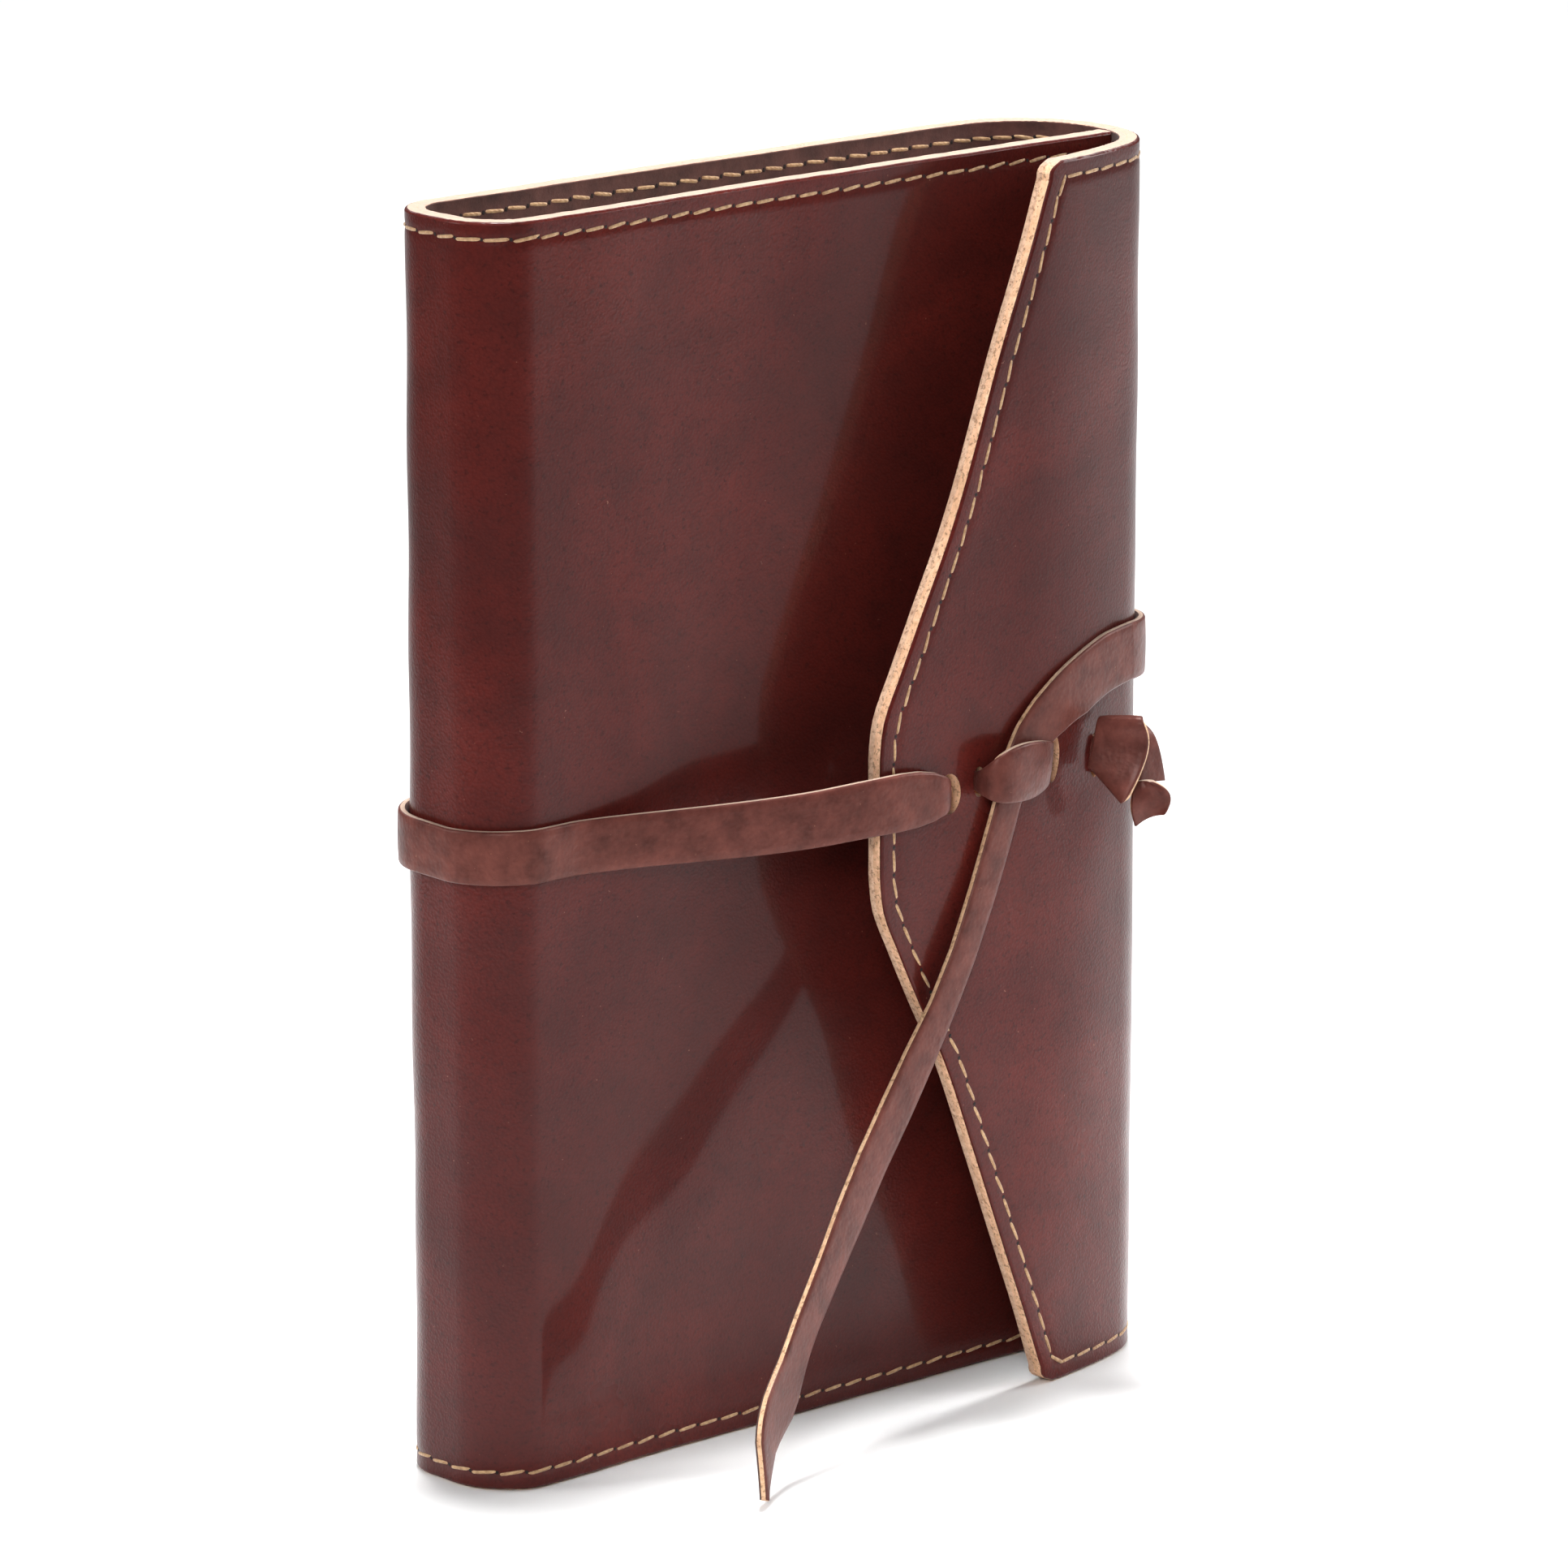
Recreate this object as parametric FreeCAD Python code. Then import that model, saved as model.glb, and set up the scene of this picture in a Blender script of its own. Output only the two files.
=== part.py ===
import FreeCAD, Part
import math
import os

os.makedirs("parts", exist_ok=True)
V = FreeCAD.Vector
TINY = 1e-6

# The cover stands on its bottom edge. The front cover faces -Y, the spine is at -X and the
# fore-edge, where the leather turns round to become the flap, is at +X. Sizes are in mm.

# leather cover
HEIGHT = 220.0
DEPTH = 27.0
LEATHER = 2.2
LINING = 1.4
PLY = LEATHER + LINING
SPINE_X = -74.0
SPINE_RADIUS = 10.0
FRONT_EDGE_X = 70.0
BACK_Y = DEPTH / 2
FRONT_Y = -DEPTH / 2
COVER_START_X = SPINE_X + SPINE_RADIUS

# fore-edge: the back cover turns through FORE_TURN degrees and runs on as the flap
FORE_RADIUS = 20.0
FORE_TURN = 161.0
FORE_CENTRE = V(56, BACK_Y - FORE_RADIUS)
FORE_END_ANGLE = 90 - FORE_TURN

# flap: it leaves the fore-edge slanting outwards and curves back until it is parallel to the cover
FLAP_RADIUS = 88.0
FLAP_TIP_X = 0.0
FLAP_CORNER_X = 40.0
FLAP_CORNER_RADIUS = 4.0
FLAP_WAIST = (22.0, 46.0)
FLAP_WAIST_RADIUS = 150.0
FLAP_TIP_HALF = 18.0
FLAP_TIP_RADIUS = 25.0
FLAP_RIGHT_X = 76.0

# seams
SEAM_INSET = 3.0
THREAD_WIDTH = 0.8
THREAD_PROUD = 0.4
HINGE_GAP = 1.0

# slots in the flap for the strap, from the tip to the fore-edge
SLOT_X = (16.0, 22.0, 41.5, 52.0)
SLOT_WIDTH = 2.8
SLOT_HEIGHT = 11.4

# refill notebook and the sleeves that hold its covers
CARD = 0.8
SLEEVE = 1.2
GAP = 0.1
SLEEVE_END_GAP = 6.5
SLEEVE_WIDTH = 54.0
SLEEVE_SEAM_INSET = 2.5
SLEEVE_THREAD_PROUD = 0.3
PAGE_GAP = 0.6
REFILL_X = (-62.0, 55.0)
REFILL_Z = (10.5, 209.5)
SIGNATURES = 6
SPINE_CLOTH = 0.5
PAGE_INSET = 1.0
FRONT_SLEEVE_REACH = 2.0

# strap: a flat leather lace, measured along its centre line
STRAP_WIDTH = 10.0
STRAP_THICK = 1.6
STRAP_OFF = 0.3 + STRAP_THICK / 2
STRAP_Z = 112.0
STRAP_FORE_Z = 128.0
FOLD_RADIUS = 1.2

# the model is moved so that its frame is the middle of its base, measured without the strap
SLANT = 180 - FORE_TURN
FLAP_Y = (FORE_CENTRE.y + FORE_RADIUS * math.sin(math.radians(FORE_END_ANGLE))
          - FLAP_RADIUS * (1 - math.cos(math.radians(SLANT))))
CENTRE_X = (SPINE_X + FORE_CENTRE.x + FORE_RADIUS) / 2
CENTRE_Y = (BACK_Y + FLAP_Y) / 2


def save(name, *solids):
    shape = solids[0] if len(solids) == 1 else Part.makeCompound(list(solids))
    shape = shape.copy()
    shape.translate(V(-CENTRE_X, -CENTRE_Y, 0))
    shape.exportStep(f"parts/{name}.step")
    box, volume = shape.BoundBox, shape.Volume / 1000
    print(f"{name:24s} {volume:8.2f} cm3  x {box.XMin:7.1f} {box.XMax:7.1f}"
          f"  y {box.YMin:6.1f} {box.YMax:6.1f}  z {box.ZMin:6.1f} {box.ZMax:6.1f}")


def block(x0, x1, y0, y1, z0=0.0, z1=HEIGHT):
    return Part.makeBox(x1 - x0, y1 - y0, z1 - z0, V(x0, y0, z0))


def polar(centre, radius, degrees):
    angle = math.radians(degrees)
    return V(centre.x + radius * math.cos(angle), centre.y + radius * math.sin(angle))


def straight(a, b):
    """A straight edge, or none where two arcs meet."""
    return [Part.makeLine(a, b)] if a.distanceToPoint(b) > TINY else []


def side(points, radii, offset):
    """The edges of a path with rounded corners, moved to its left by offset."""
    edges, start = [], None
    ways = [(b - a).normalize() for a, b in zip(points, points[1:])]
    lefts = [V(-way.y, way.x) for way in ways]
    for i, corner in enumerate(points[1:-1], 1):
        before, after = ways[i - 1], ways[i]
        turn = before.cross(after).z
        half = math.acos(max(-1.0, min(1.0, before.dot(after)))) / 2
        bend = math.copysign(1.0, turn)
        reach = radii[i - 1] * math.tan(half)
        centre = corner - before * reach + lefts[i - 1] * (bend * radii[i - 1])
        radius = radii[i - 1] - bend * offset
        first = centre - lefts[i - 1] * (bend * radius)
        last = centre - lefts[i] * (bend * radius)
        middle = centre + (corner - centre).normalize() * radius
        edges += straight(start or points[0] + lefts[0] * offset, first)
        edges.append(Part.Arc(first, middle, last).toShape())
        start = last
    return edges + straight(start or points[0] + lefts[0] * offset, points[-1] + lefts[-1] * offset)


def band(points, radii, low, high):
    """A flat face along a path with rounded corners, from offset low to offset high."""
    one, two = side(points, radii, low), side(points, radii, high)
    ends = [Part.makeLine(one[0].firstVertex().Point, two[0].firstVertex().Point),
            Part.makeLine(one[-1].lastVertex().Point, two[-1].lastVertex().Point)]
    return Part.Face(Part.Wire(Part.__sortEdges__(one + two + ends)))


def raise_plan(face, z0=0.0, z1=HEIGHT):
    solid = face.extrude(V(0, 0, z1 - z0))
    solid.translate(V(0, 0, z0))
    return solid


def sector(centre, inner, outer, start, end, z0=0.0, z1=HEIGHT):
    """An upright wall that curves round centre, from the start angle to the end angle."""
    middle = (start + end) / 2
    arcs = [Part.Arc(polar(centre, r, start), polar(centre, r, middle), polar(centre, r, end)).toShape()
            for r in (inner, outer)]
    ends = [Part.makeLine(polar(centre, inner, a), polar(centre, outer, a)) for a in (start, end)]
    return raise_plan(Part.Face(Part.Wire(Part.__sortEdges__(arcs + ends))), z0, z1)


def upright(face):
    """A face drawn in X and Y stands up in X and Z, as a prism that is deep in Y."""
    solid = face.extrude(V(0, 0, 2 * HEIGHT))
    solid.rotate(V(0, 0, 0), V(1, 0, 0), 90)
    solid.translate(V(0, HEIGHT, 0))
    return solid


def seam_rows(wall, ply):
    """Top and bottom seam on one face of a wall."""
    half = THREAD_WIDTH / 2
    return [wall(ply, z - half, z + half) for z in (SEAM_INSET, HEIGHT - SEAM_INSET)]


# plies: each is the (inner, outer) distance in from the outer face of the cover
OUTER_PLY = (LEATHER, 0.0)
INNER_PLY = (PLY, LEATHER)
OUTER_THREAD = (0.0, -THREAD_PROUD)
INNER_THREAD = (PLY + THREAD_PROUD, PLY)


def back_wall(ply, z0=0.0, z1=HEIGHT, x0=COVER_START_X, x1=FORE_CENTRE.x):
    return block(x0, x1, BACK_Y - ply[0], BACK_Y - ply[1], z0, z1)


def front_wall(ply, z0=0.0, z1=HEIGHT, x0=COVER_START_X, x1=FRONT_EDGE_X):
    return block(x0, x1, FRONT_Y + ply[1], FRONT_Y + ply[0], z0, z1)


def spine_wall(ply, z0=0.0, z1=HEIGHT):
    corners = [V(COVER_START_X, BACK_Y), V(SPINE_X, BACK_Y), V(SPINE_X, FRONT_Y), V(COVER_START_X, FRONT_Y)]
    return raise_plan(band(corners, [SPINE_RADIUS] * 2, ply[0], ply[1]), z0, z1)


def fore_wall(ply, z0=0.0, z1=HEIGHT):
    return sector(FORE_CENTRE, FORE_RADIUS - ply[0], FORE_RADIUS - ply[1], 90, FORE_END_ANGLE, z0, z1)


def flap_wall(ply, z0=0.0, z1=HEIGHT):
    """The flap's wall before its outline is cut: an arc and a straight run."""
    start = polar(FORE_CENTRE, FORE_RADIUS, FORE_END_ANGLE)
    centre = V(start.x - FLAP_RADIUS * math.sin(math.radians(SLANT)), FLAP_Y + FLAP_RADIUS)
    curve = sector(centre, FLAP_RADIUS - ply[0], FLAP_RADIUS - ply[1], FORE_END_ANGLE, -90, z0, z1)
    run = block(FLAP_TIP_X - PLY, centre.x, FLAP_Y + ply[1], FLAP_Y + ply[0], z0, z1)
    return curve.fuse(run).removeSplitter()


def flap_face(inset=0.0):
    """The flap's outline in X and Z: square top and bottom, slightly hollow sides, blunt tip."""
    middle = HEIGHT / 2
    points = [V(FLAP_RIGHT_X, 0), V(FLAP_CORNER_X, 0), V(*FLAP_WAIST), V(FLAP_TIP_X, middle - FLAP_TIP_HALF),
              V(FLAP_TIP_X, middle + FLAP_TIP_HALF), V(FLAP_WAIST[0], HEIGHT - FLAP_WAIST[1]),
              V(FLAP_CORNER_X, HEIGHT), V(FLAP_RIGHT_X, HEIGHT)]
    radii = [FLAP_CORNER_RADIUS + inset, FLAP_WAIST_RADIUS, FLAP_TIP_RADIUS, FLAP_TIP_RADIUS,
             FLAP_WAIST_RADIUS, FLAP_CORNER_RADIUS + inset]
    if inset:
        return band(points, radii, -inset - THREAD_WIDTH / 2, -inset + THREAD_WIDTH / 2)
    edges = side(points, radii, 0)
    edges.append(Part.makeLine(points[-1], points[0]))
    return Part.Face(Part.Wire(edges))


def slots():
    """Upright slots with round ends, right through the flap."""
    found = []
    radius = SLOT_WIDTH / 2
    deep = 5 * PLY
    ends = [STRAP_Z + way * (SLOT_HEIGHT / 2 - radius) for way in (-1, 1)]
    for x in SLOT_X:
        slot = block(x - radius, x + radius, FLAP_Y - PLY, FLAP_Y - PLY + deep, *ends)
        for z in ends:
            slot = slot.fuse(Part.makeCylinder(radius, deep, V(x, FLAP_Y - PLY, z), V(0, 1, 0)))
        found.append(slot.removeSplitter())
    return found


def hinge_clearance():
    """Upright slabs at the hinge lines, where the thread of two neighbouring pieces must not meet."""
    reach = 2 * THREAD_PROUD
    back = [block(x - HINGE_GAP, x + HINGE_GAP, BACK_Y - TINY, BACK_Y + reach)
            for x in (COVER_START_X, FORE_CENTRE.x)]
    front = block(COVER_START_X - HINGE_GAP, COVER_START_X + HINGE_GAP, FRONT_Y - reach, FRONT_Y + TINY)
    return back + [front]


def cover_pieces():
    for name, wall in (("back_cover", back_wall), ("spine", spine_wall), ("front_cover", front_wall),
                       ("fore_edge", fore_wall)):
        save(f"{name}_leather", wall(OUTER_PLY))
        save(f"{name}_lining", wall(INNER_PLY))
        rows = [row.cut(hinge_clearance()) for row in seam_rows(wall, OUTER_THREAD)]
        rows += seam_rows(wall, INNER_THREAD)
        if wall is front_wall:
            rows += front_edge_seam()
        save(f"{name}_stitching", *rows)
    outline = upright(flap_face())
    seam = upright(flap_face(SEAM_INSET))
    save("flap_leather", flap_wall(OUTER_PLY).common(outline).cut(slots()))
    save("flap_lining", flap_wall(INNER_PLY).common(outline).cut(slots()))
    save("flap_stitching", *[flap_wall(ply).common(seam) for ply in (OUTER_THREAD, INNER_THREAD)])


def front_edge_seam():
    """The upright seam along the front cover's free edge, between the top and bottom seams."""
    x = FRONT_EDGE_X - SEAM_INSET
    half = THREAD_WIDTH / 2
    low, high = SEAM_INSET + half, HEIGHT - SEAM_INSET - half
    return [front_wall(ply, low, high, x - half, x + half) for ply in (OUTER_THREAD, INNER_THREAD)]


def between(a, b):
    return min(a, b), max(a, b)


def sleeve(inner_face, way, x1):
    """A pocket panel that stands one card's thickness off the lining, with its open side to the spine."""
    near = inner_face + way * (CARD + 2 * GAP)
    y = between(near, near + way * SLEEVE)
    return block(x1 - SLEEVE_WIDTH, x1, *y, SLEEVE_END_GAP, HEIGHT - SLEEVE_END_GAP)


def sleeve_seam(inner_face, way, x1):
    """Thread along the sleeve's bottom, top and fore-edge sides."""
    near = inner_face + way * (CARD + 2 * GAP + SLEEVE)
    y = between(near, near + way * SLEEVE_THREAD_PROUD)
    inset = SLEEVE_END_GAP + SLEEVE_SEAM_INSET
    right = x1 - SLEEVE_SEAM_INSET
    half = THREAD_WIDTH / 2
    rows = [block(x1 - SLEEVE_WIDTH, right, *y, z - half, z + half) for z in (inset, HEIGHT - inset)]
    return rows + [block(right - 2 * half, right, *y, inset + half, HEIGHT - inset - half)]


def card(inner_face, way):
    near = inner_face + way * GAP
    return block(*REFILL_X, *between(near, near + way * CARD), *REFILL_Z)


def refill_pieces():
    back_face, front_face = BACK_Y - PLY, FRONT_Y + PLY
    front_edge = FORE_CENTRE.x + FRONT_SLEEVE_REACH
    for name, face, way, x1 in (("back", back_face, -1, FORE_CENTRE.x), ("front", front_face, 1, front_edge)):
        save(f"{name}_sleeve", sleeve(face, way, x1))
        save(f"{name}_sleeve_stitching", *sleeve_seam(face, way, x1))
        save(f"refill_{name}_card", card(face, way))
    room = CARD + SLEEVE + 2 * GAP + PAGE_GAP
    y0, y1 = front_face + room, back_face - room
    thick = (y1 - y0) / SIGNATURES
    x = REFILL_X[0] + SPINE_CLOTH, REFILL_X[1] - PAGE_INSET
    z = REFILL_Z[0] + PAGE_INSET, REFILL_Z[1] - PAGE_INSET
    pages = []
    for i in range(SIGNATURES):
        low = y0 + i * thick
        pages.append(block(*x, low + GAP / 2, low + thick - GAP / 2, *z))
    save("refill_signatures", *pages)
    save("refill_spine_cloth", block(REFILL_X[0], REFILL_X[0] + SPINE_CLOTH, y0, y1, *REFILL_Z))


# Strap route. The plan is the route seen from above and the elevation is the route seen from the
# front. Both are straight runs joined by tangent arcs. The strap is parted at the cover's hinge lines.
WRAP_CORNER_X = SPINE_X - STRAP_OFF
BACK_RUN_Y = BACK_Y + STRAP_OFF
FRONT_RUN_Y = FRONT_Y + 1.4
BEHIND_Y = FLAP_Y + PLY + STRAP_OFF + 0.3
OVER_Y = FLAP_Y - STRAP_OFF - 0.4
FRONT_RUN_START = V(SLOT_X[0] - FOLD_RADIUS, OVER_Y)
WRAP_PLAN = [FRONT_RUN_START, V(FLAP_TIP_X - 2, OVER_Y), V(WRAP_CORNER_X, FRONT_RUN_Y),
             V(WRAP_CORNER_X, BACK_RUN_Y), V(COVER_START_X, BACK_RUN_Y)]
WRAP_RADII = [3 * STRAP_WIDTH, SPINE_RADIUS + STRAP_OFF, SPINE_RADIUS + STRAP_OFF]

# the tail leaves the fore-edge along the flap, lies flat on it and then falls away from the cover
FORE_STRAP_RADIUS = FORE_RADIUS + STRAP_OFF
TAIL_RUN_Y = FLAP_Y - STRAP_OFF
TAIL_START = polar(FORE_CENTRE, FORE_STRAP_RADIUS, FORE_END_ANGLE)
TAIL_FLAP_RADIUS = FLAP_RADIUS + STRAP_OFF
TAIL_FLAP_RUN = TAIL_FLAP_RADIUS * math.tan(math.radians(SLANT / 2))
TAIL_FLAT_X = TAIL_START.x - TAIL_FLAP_RUN * math.cos(math.radians(SLANT))
TAIL_PLAN = [TAIL_START, V(TAIL_FLAT_X, TAIL_RUN_Y), V(28.0, TAIL_RUN_Y), V(-8.0, -34.6), V(-34.0, -41.4),
             V(-50.0, -52.0)]
TAIL_PLAN_RADII = [TAIL_FLAP_RADIUS, 4 * STRAP_WIDTH, 4 * STRAP_WIDTH, 2 * STRAP_WIDTH]
TAIL_ROUTE = [V(66.0, STRAP_FORE_Z), V(46.0, 127.5), V(32.4, 117.0), V(23.0, 97.0), V(2.9, 63.4),
              V(-16.7, 38.4), V(-33.2, 19.0), V(-43.2, -3.0)]
TAIL_POINT = [V(-45.5, 14.0), V(-43.0, 0.6), V(-38.5, 8.5), V(-30.0, 12.0)]
TAIL_OFFCUT = [V(-20.0, 12.0), V(-20.0, -30.0), V(-70.0, -30.0), V(-70.0, 14.0)]

# the keeper goes in at slot 1, comes up through slot 2, leans out over the tail, goes in at slot 3
# and comes out at slot 4
KEEPER_LEAN = 4.2
KEEPER_OVER_Y = (-34.9, -34.6)
KEEPER_UNDER_Y = (-24.0, -22.2)
KEEPER_END_Y = -30.0
KEEPER_PLAN = [FRONT_RUN_START, V(SLOT_X[0], OVER_Y), V(SLOT_X[0], BEHIND_Y), V(SLOT_X[1], BEHIND_Y),
               V(SLOT_X[1], FLAP_Y - THREAD_PROUD), V(SLOT_X[1] - KEEPER_LEAN, KEEPER_OVER_Y[0]),
               V(SLOT_X[2], KEEPER_OVER_Y[1]), V(SLOT_X[2], KEEPER_UNDER_Y[0]),
               V(SLOT_X[3], KEEPER_UNDER_Y[1]), V(SLOT_X[3], KEEPER_END_Y)]
KEEPER_RADII = [FOLD_RADIUS, FOLD_RADIUS, FOLD_RADIUS, 2 * STRAP_THICK, FOLD_RADIUS, 2 * STRAP_THICK,
                FOLD_RADIUS, FOLD_RADIUS]

# knot: its upper left corner, its size along X, Y and Z, and the short end that hangs below it
KNOT_CORNER = (SLOT_X[3] - 5.5, 121.5)
KNOT_SIZE = (12.5, 7.5, 15.5)
KNOT_ROUNDING = 2.0
KNOT_END_SIZE = (8.0, 5.0, 8.5)
KNOT_END_CORNER = (SLOT_X[3] + 4.0, 110.0)


def cord_radii(points):
    """Arc radii for a route: 0.45 of the shorter run over the tangent of half the turn."""
    radii = []
    for a, b, c in zip(points, points[1:], points[2:]):
        turn = (b - a).getAngle(c - b)
        shorter = min((b - a).Length, (c - b).Length)
        radii.append(0.45 * shorter / math.tan(turn / 2))
    return radii


def flat_run(points, radii):
    """A level length of strap."""
    half, low = STRAP_THICK / 2, STRAP_Z - STRAP_WIDTH / 2
    return raise_plan(band(points, radii, -half, half), low, low + STRAP_WIDTH)


def strap_round_spine():
    """The front run over the flap's tip and the front cover, and the length that goes round the spine."""
    run = flat_run(WRAP_PLAN, WRAP_RADII)
    spine_side = block(-2 * HEIGHT, COVER_START_X, -HEIGHT, HEIGHT)
    return run.cut(spine_side), run.common(spine_side)


def strap_back_run():
    """Across the back, rising towards the fore-edge."""
    rise = STRAP_FORE_Z - STRAP_Z
    low, high = STRAP_Z - STRAP_WIDTH / 2, STRAP_Z + STRAP_WIDTH / 2
    near = BACK_RUN_Y - STRAP_THICK / 2
    corners = [V(COVER_START_X, near, low), V(FORE_CENTRE.x, near, low + rise),
               V(FORE_CENTRE.x, near, high + rise), V(COVER_START_X, near, high)]
    return Part.Face(Part.makePolygon(corners + corners[:1])).extrude(V(0, STRAP_THICK, 0))


def strap_fore_edge_run():
    half, low = STRAP_THICK / 2, STRAP_FORE_Z - STRAP_WIDTH / 2
    return sector(FORE_CENTRE, FORE_STRAP_RADIUS - half, FORE_STRAP_RADIUS + half, 90, FORE_END_ANGLE,
                  low, low + STRAP_WIDTH)


def strap_tail():
    """From the fore-edge slantwise over the flap, under the keeper and down to a pointed end."""
    half = STRAP_THICK / 2
    plan = raise_plan(band(TAIL_PLAN, TAIL_PLAN_RADII, -half, half))
    strip = band(TAIL_ROUTE, cord_radii(TAIL_ROUTE), -STRAP_WIDTH / 2, STRAP_WIDTH / 2)
    offcut = TAIL_POINT + TAIL_OFFCUT
    strip = strip.cut(Part.Face(Part.makePolygon(offcut + offcut[:1])))
    return plan.common(upright(strip))


def strap_knot():
    """A flat knot at the strap's other end, on the flap beside slot 4, with its short end below."""
    left, top = KNOT_CORNER
    wide, deep, tall = KNOT_SIZE
    body = block(left, left + wide, KEEPER_END_Y - deep, KEEPER_END_Y, top - tall, top)
    body = body.makeFillet(KNOT_ROUNDING, body.Edges)
    left, top = KNOT_END_CORNER
    wide, deep, tall = KNOT_END_SIZE
    near = KEEPER_END_Y - LINING
    end = block(left, left + wide, near - deep, near, top - tall, top)
    return body.fuse(end).removeSplitter()


def strap_pieces():
    front, spine = strap_round_spine()
    save("strap_front_run", front)
    save("strap_spine_run", spine)
    save("strap_back_run", strap_back_run())
    save("strap_fore_edge_run", strap_fore_edge_run())
    save("strap_tail", strap_tail())
    save("strap_keeper", flat_run(KEEPER_PLAN, KEEPER_RADII))
    save("strap_knot", strap_knot())


cover_pieces()
refill_pieces()
strap_pieces()
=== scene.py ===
import math
import random

import bpy
import numpy as np
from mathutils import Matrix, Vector


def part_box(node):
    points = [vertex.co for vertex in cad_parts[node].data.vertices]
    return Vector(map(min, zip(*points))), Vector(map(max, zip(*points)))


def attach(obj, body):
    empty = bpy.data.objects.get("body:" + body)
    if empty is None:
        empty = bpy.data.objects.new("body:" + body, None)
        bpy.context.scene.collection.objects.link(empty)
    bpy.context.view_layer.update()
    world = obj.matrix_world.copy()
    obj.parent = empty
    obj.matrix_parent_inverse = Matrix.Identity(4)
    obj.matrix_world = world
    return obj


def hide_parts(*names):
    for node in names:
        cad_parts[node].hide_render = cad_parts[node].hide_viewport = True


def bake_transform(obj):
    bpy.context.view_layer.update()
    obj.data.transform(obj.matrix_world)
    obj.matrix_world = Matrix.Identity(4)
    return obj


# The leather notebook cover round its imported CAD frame. Shapes are worked out in millimetres in the
# row frame and become metres when a mesh is made. The cover is one long sheet: s runs along it from
# the front cover's free edge, round the spine, over the back and round the fore-edge to the flap's
# tip, z is the height, and depth is measured inwards from the outer face.

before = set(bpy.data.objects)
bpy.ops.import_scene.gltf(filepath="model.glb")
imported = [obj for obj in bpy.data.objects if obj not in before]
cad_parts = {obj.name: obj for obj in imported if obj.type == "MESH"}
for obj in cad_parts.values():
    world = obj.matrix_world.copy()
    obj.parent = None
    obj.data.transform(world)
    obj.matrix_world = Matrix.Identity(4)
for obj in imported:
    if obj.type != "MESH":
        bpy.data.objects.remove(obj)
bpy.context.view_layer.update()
rng = random.Random(11)
MM = 0.001
FULL_TURN = 2 * math.pi


def node_box(name):
    """The lowest and highest corner of a CAD node, in millimetres."""
    return [[c / MM for c in corner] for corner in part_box(name)]


# ---------------- sizes read from the frame
back_low, back_high = node_box("back_cover_leather")
lining_low, _ = node_box("back_cover_lining")
front_low, front_high = node_box("front_cover_leather")
spine_low, _ = node_box("spine_leather")
fore_low, fore_high = node_box("fore_edge_leather")
flap_low, _ = node_box("flap_leather")

HEIGHT = back_high[2]
LEATHER = back_high[1] - back_low[1]
PLY = back_high[1] - lining_low[1]
BACK_Y, FRONT_Y = back_high[1], front_low[1]
START_X, FORE_X = back_low[0], back_high[0]
SPINE_RADIUS = START_X - spine_low[0]
FORE_RADIUS = fore_high[0] - FORE_X
FORE_Y = BACK_Y - FORE_RADIUS
FOLD_END = math.asin((FORE_Y - fore_low[1]) / FORE_RADIUS)
SLANT = math.pi / 2 - FOLD_END
FLAP_Y, FLAP_TIP_X = flap_low[1], flap_low[0]
FLAP_RADIUS = (fore_low[1] - FLAP_Y) / (1 - math.cos(SLANT))
FLAP_FLAT_X = FORE_X + FORE_RADIUS * math.cos(FOLD_END) - FLAP_RADIUS * math.sin(SLANT)
MIDDLE_Z = HEIGHT / 2

# ---------------- the cover's path seen from above
# (length, radius of its right-hand turn, or 0 where it is straight)
SEGMENTS = [
    (front_high[0] - START_X, 0),
    (math.pi / 2 * SPINE_RADIUS, SPINE_RADIUS),
    (BACK_Y - FRONT_Y - 2 * SPINE_RADIUS, 0),
    (math.pi / 2 * SPINE_RADIUS, SPINE_RADIUS),
    (FORE_X - START_X, 0),
    ((math.pi / 2 + FOLD_END) * FORE_RADIUS, FORE_RADIUS),
    (SLANT * FLAP_RADIUS, FLAP_RADIUS),
    (FLAP_FLAT_X - FLAP_TIP_X, 0),
]
S_JOINS = np.concatenate([[0], np.cumsum([length for length, _ in SEGMENTS])])
S_FRONT_CORNER, S_SPINE, S_SPINE_END, S_BACK, S_FORE, S_FLAP, _, S_TIP = S_JOINS[1:]
S_MID_SPINE = (S_SPINE + S_SPINE_END) / 2
S_MID_BACK = (S_BACK + S_FORE) / 2
S_MID_FORE = (S_FORE + S_FLAP) / 2


def plan_starts():
    """Where each segment starts: x, y and heading."""
    x, y, heading = front_high[0], FRONT_Y, math.pi
    starts = []
    for length, radius in SEGMENTS:
        starts.append((x, y, heading))
        if radius:
            after = heading - length / radius
            x += radius * (math.sin(heading) - math.sin(after))
            y += radius * (math.cos(after) - math.cos(heading))
            heading = after
        else:
            x += length * math.cos(heading)
            y += length * math.sin(heading)
    return starts


PLAN_STARTS = plan_starts()


def plan(s):
    """x, y and heading of the cover's outer face at each s."""
    s = np.asarray(s, float)
    x, y, heading = np.zeros_like(s), np.zeros_like(s), np.zeros_like(s)
    index = np.clip(np.searchsorted(S_JOINS, s, side="right") - 1, 0, len(SEGMENTS) - 1)
    for i, ((_, radius), (x0, y0, start)) in enumerate(zip(SEGMENTS, PLAN_STARTS)):
        here = index == i
        run = s[here] - S_JOINS[i]
        if radius:
            heading[here] = start - run / radius
            x[here] = x0 + radius * (math.sin(start) - np.sin(heading[here]))
            y[here] = y0 + radius * (np.cos(heading[here]) - math.cos(start))
        else:
            heading[here] = start
            x[here] = x0 + run * math.cos(start)
            y[here] = y0 + run * math.sin(start)
    return x, y, heading


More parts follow.
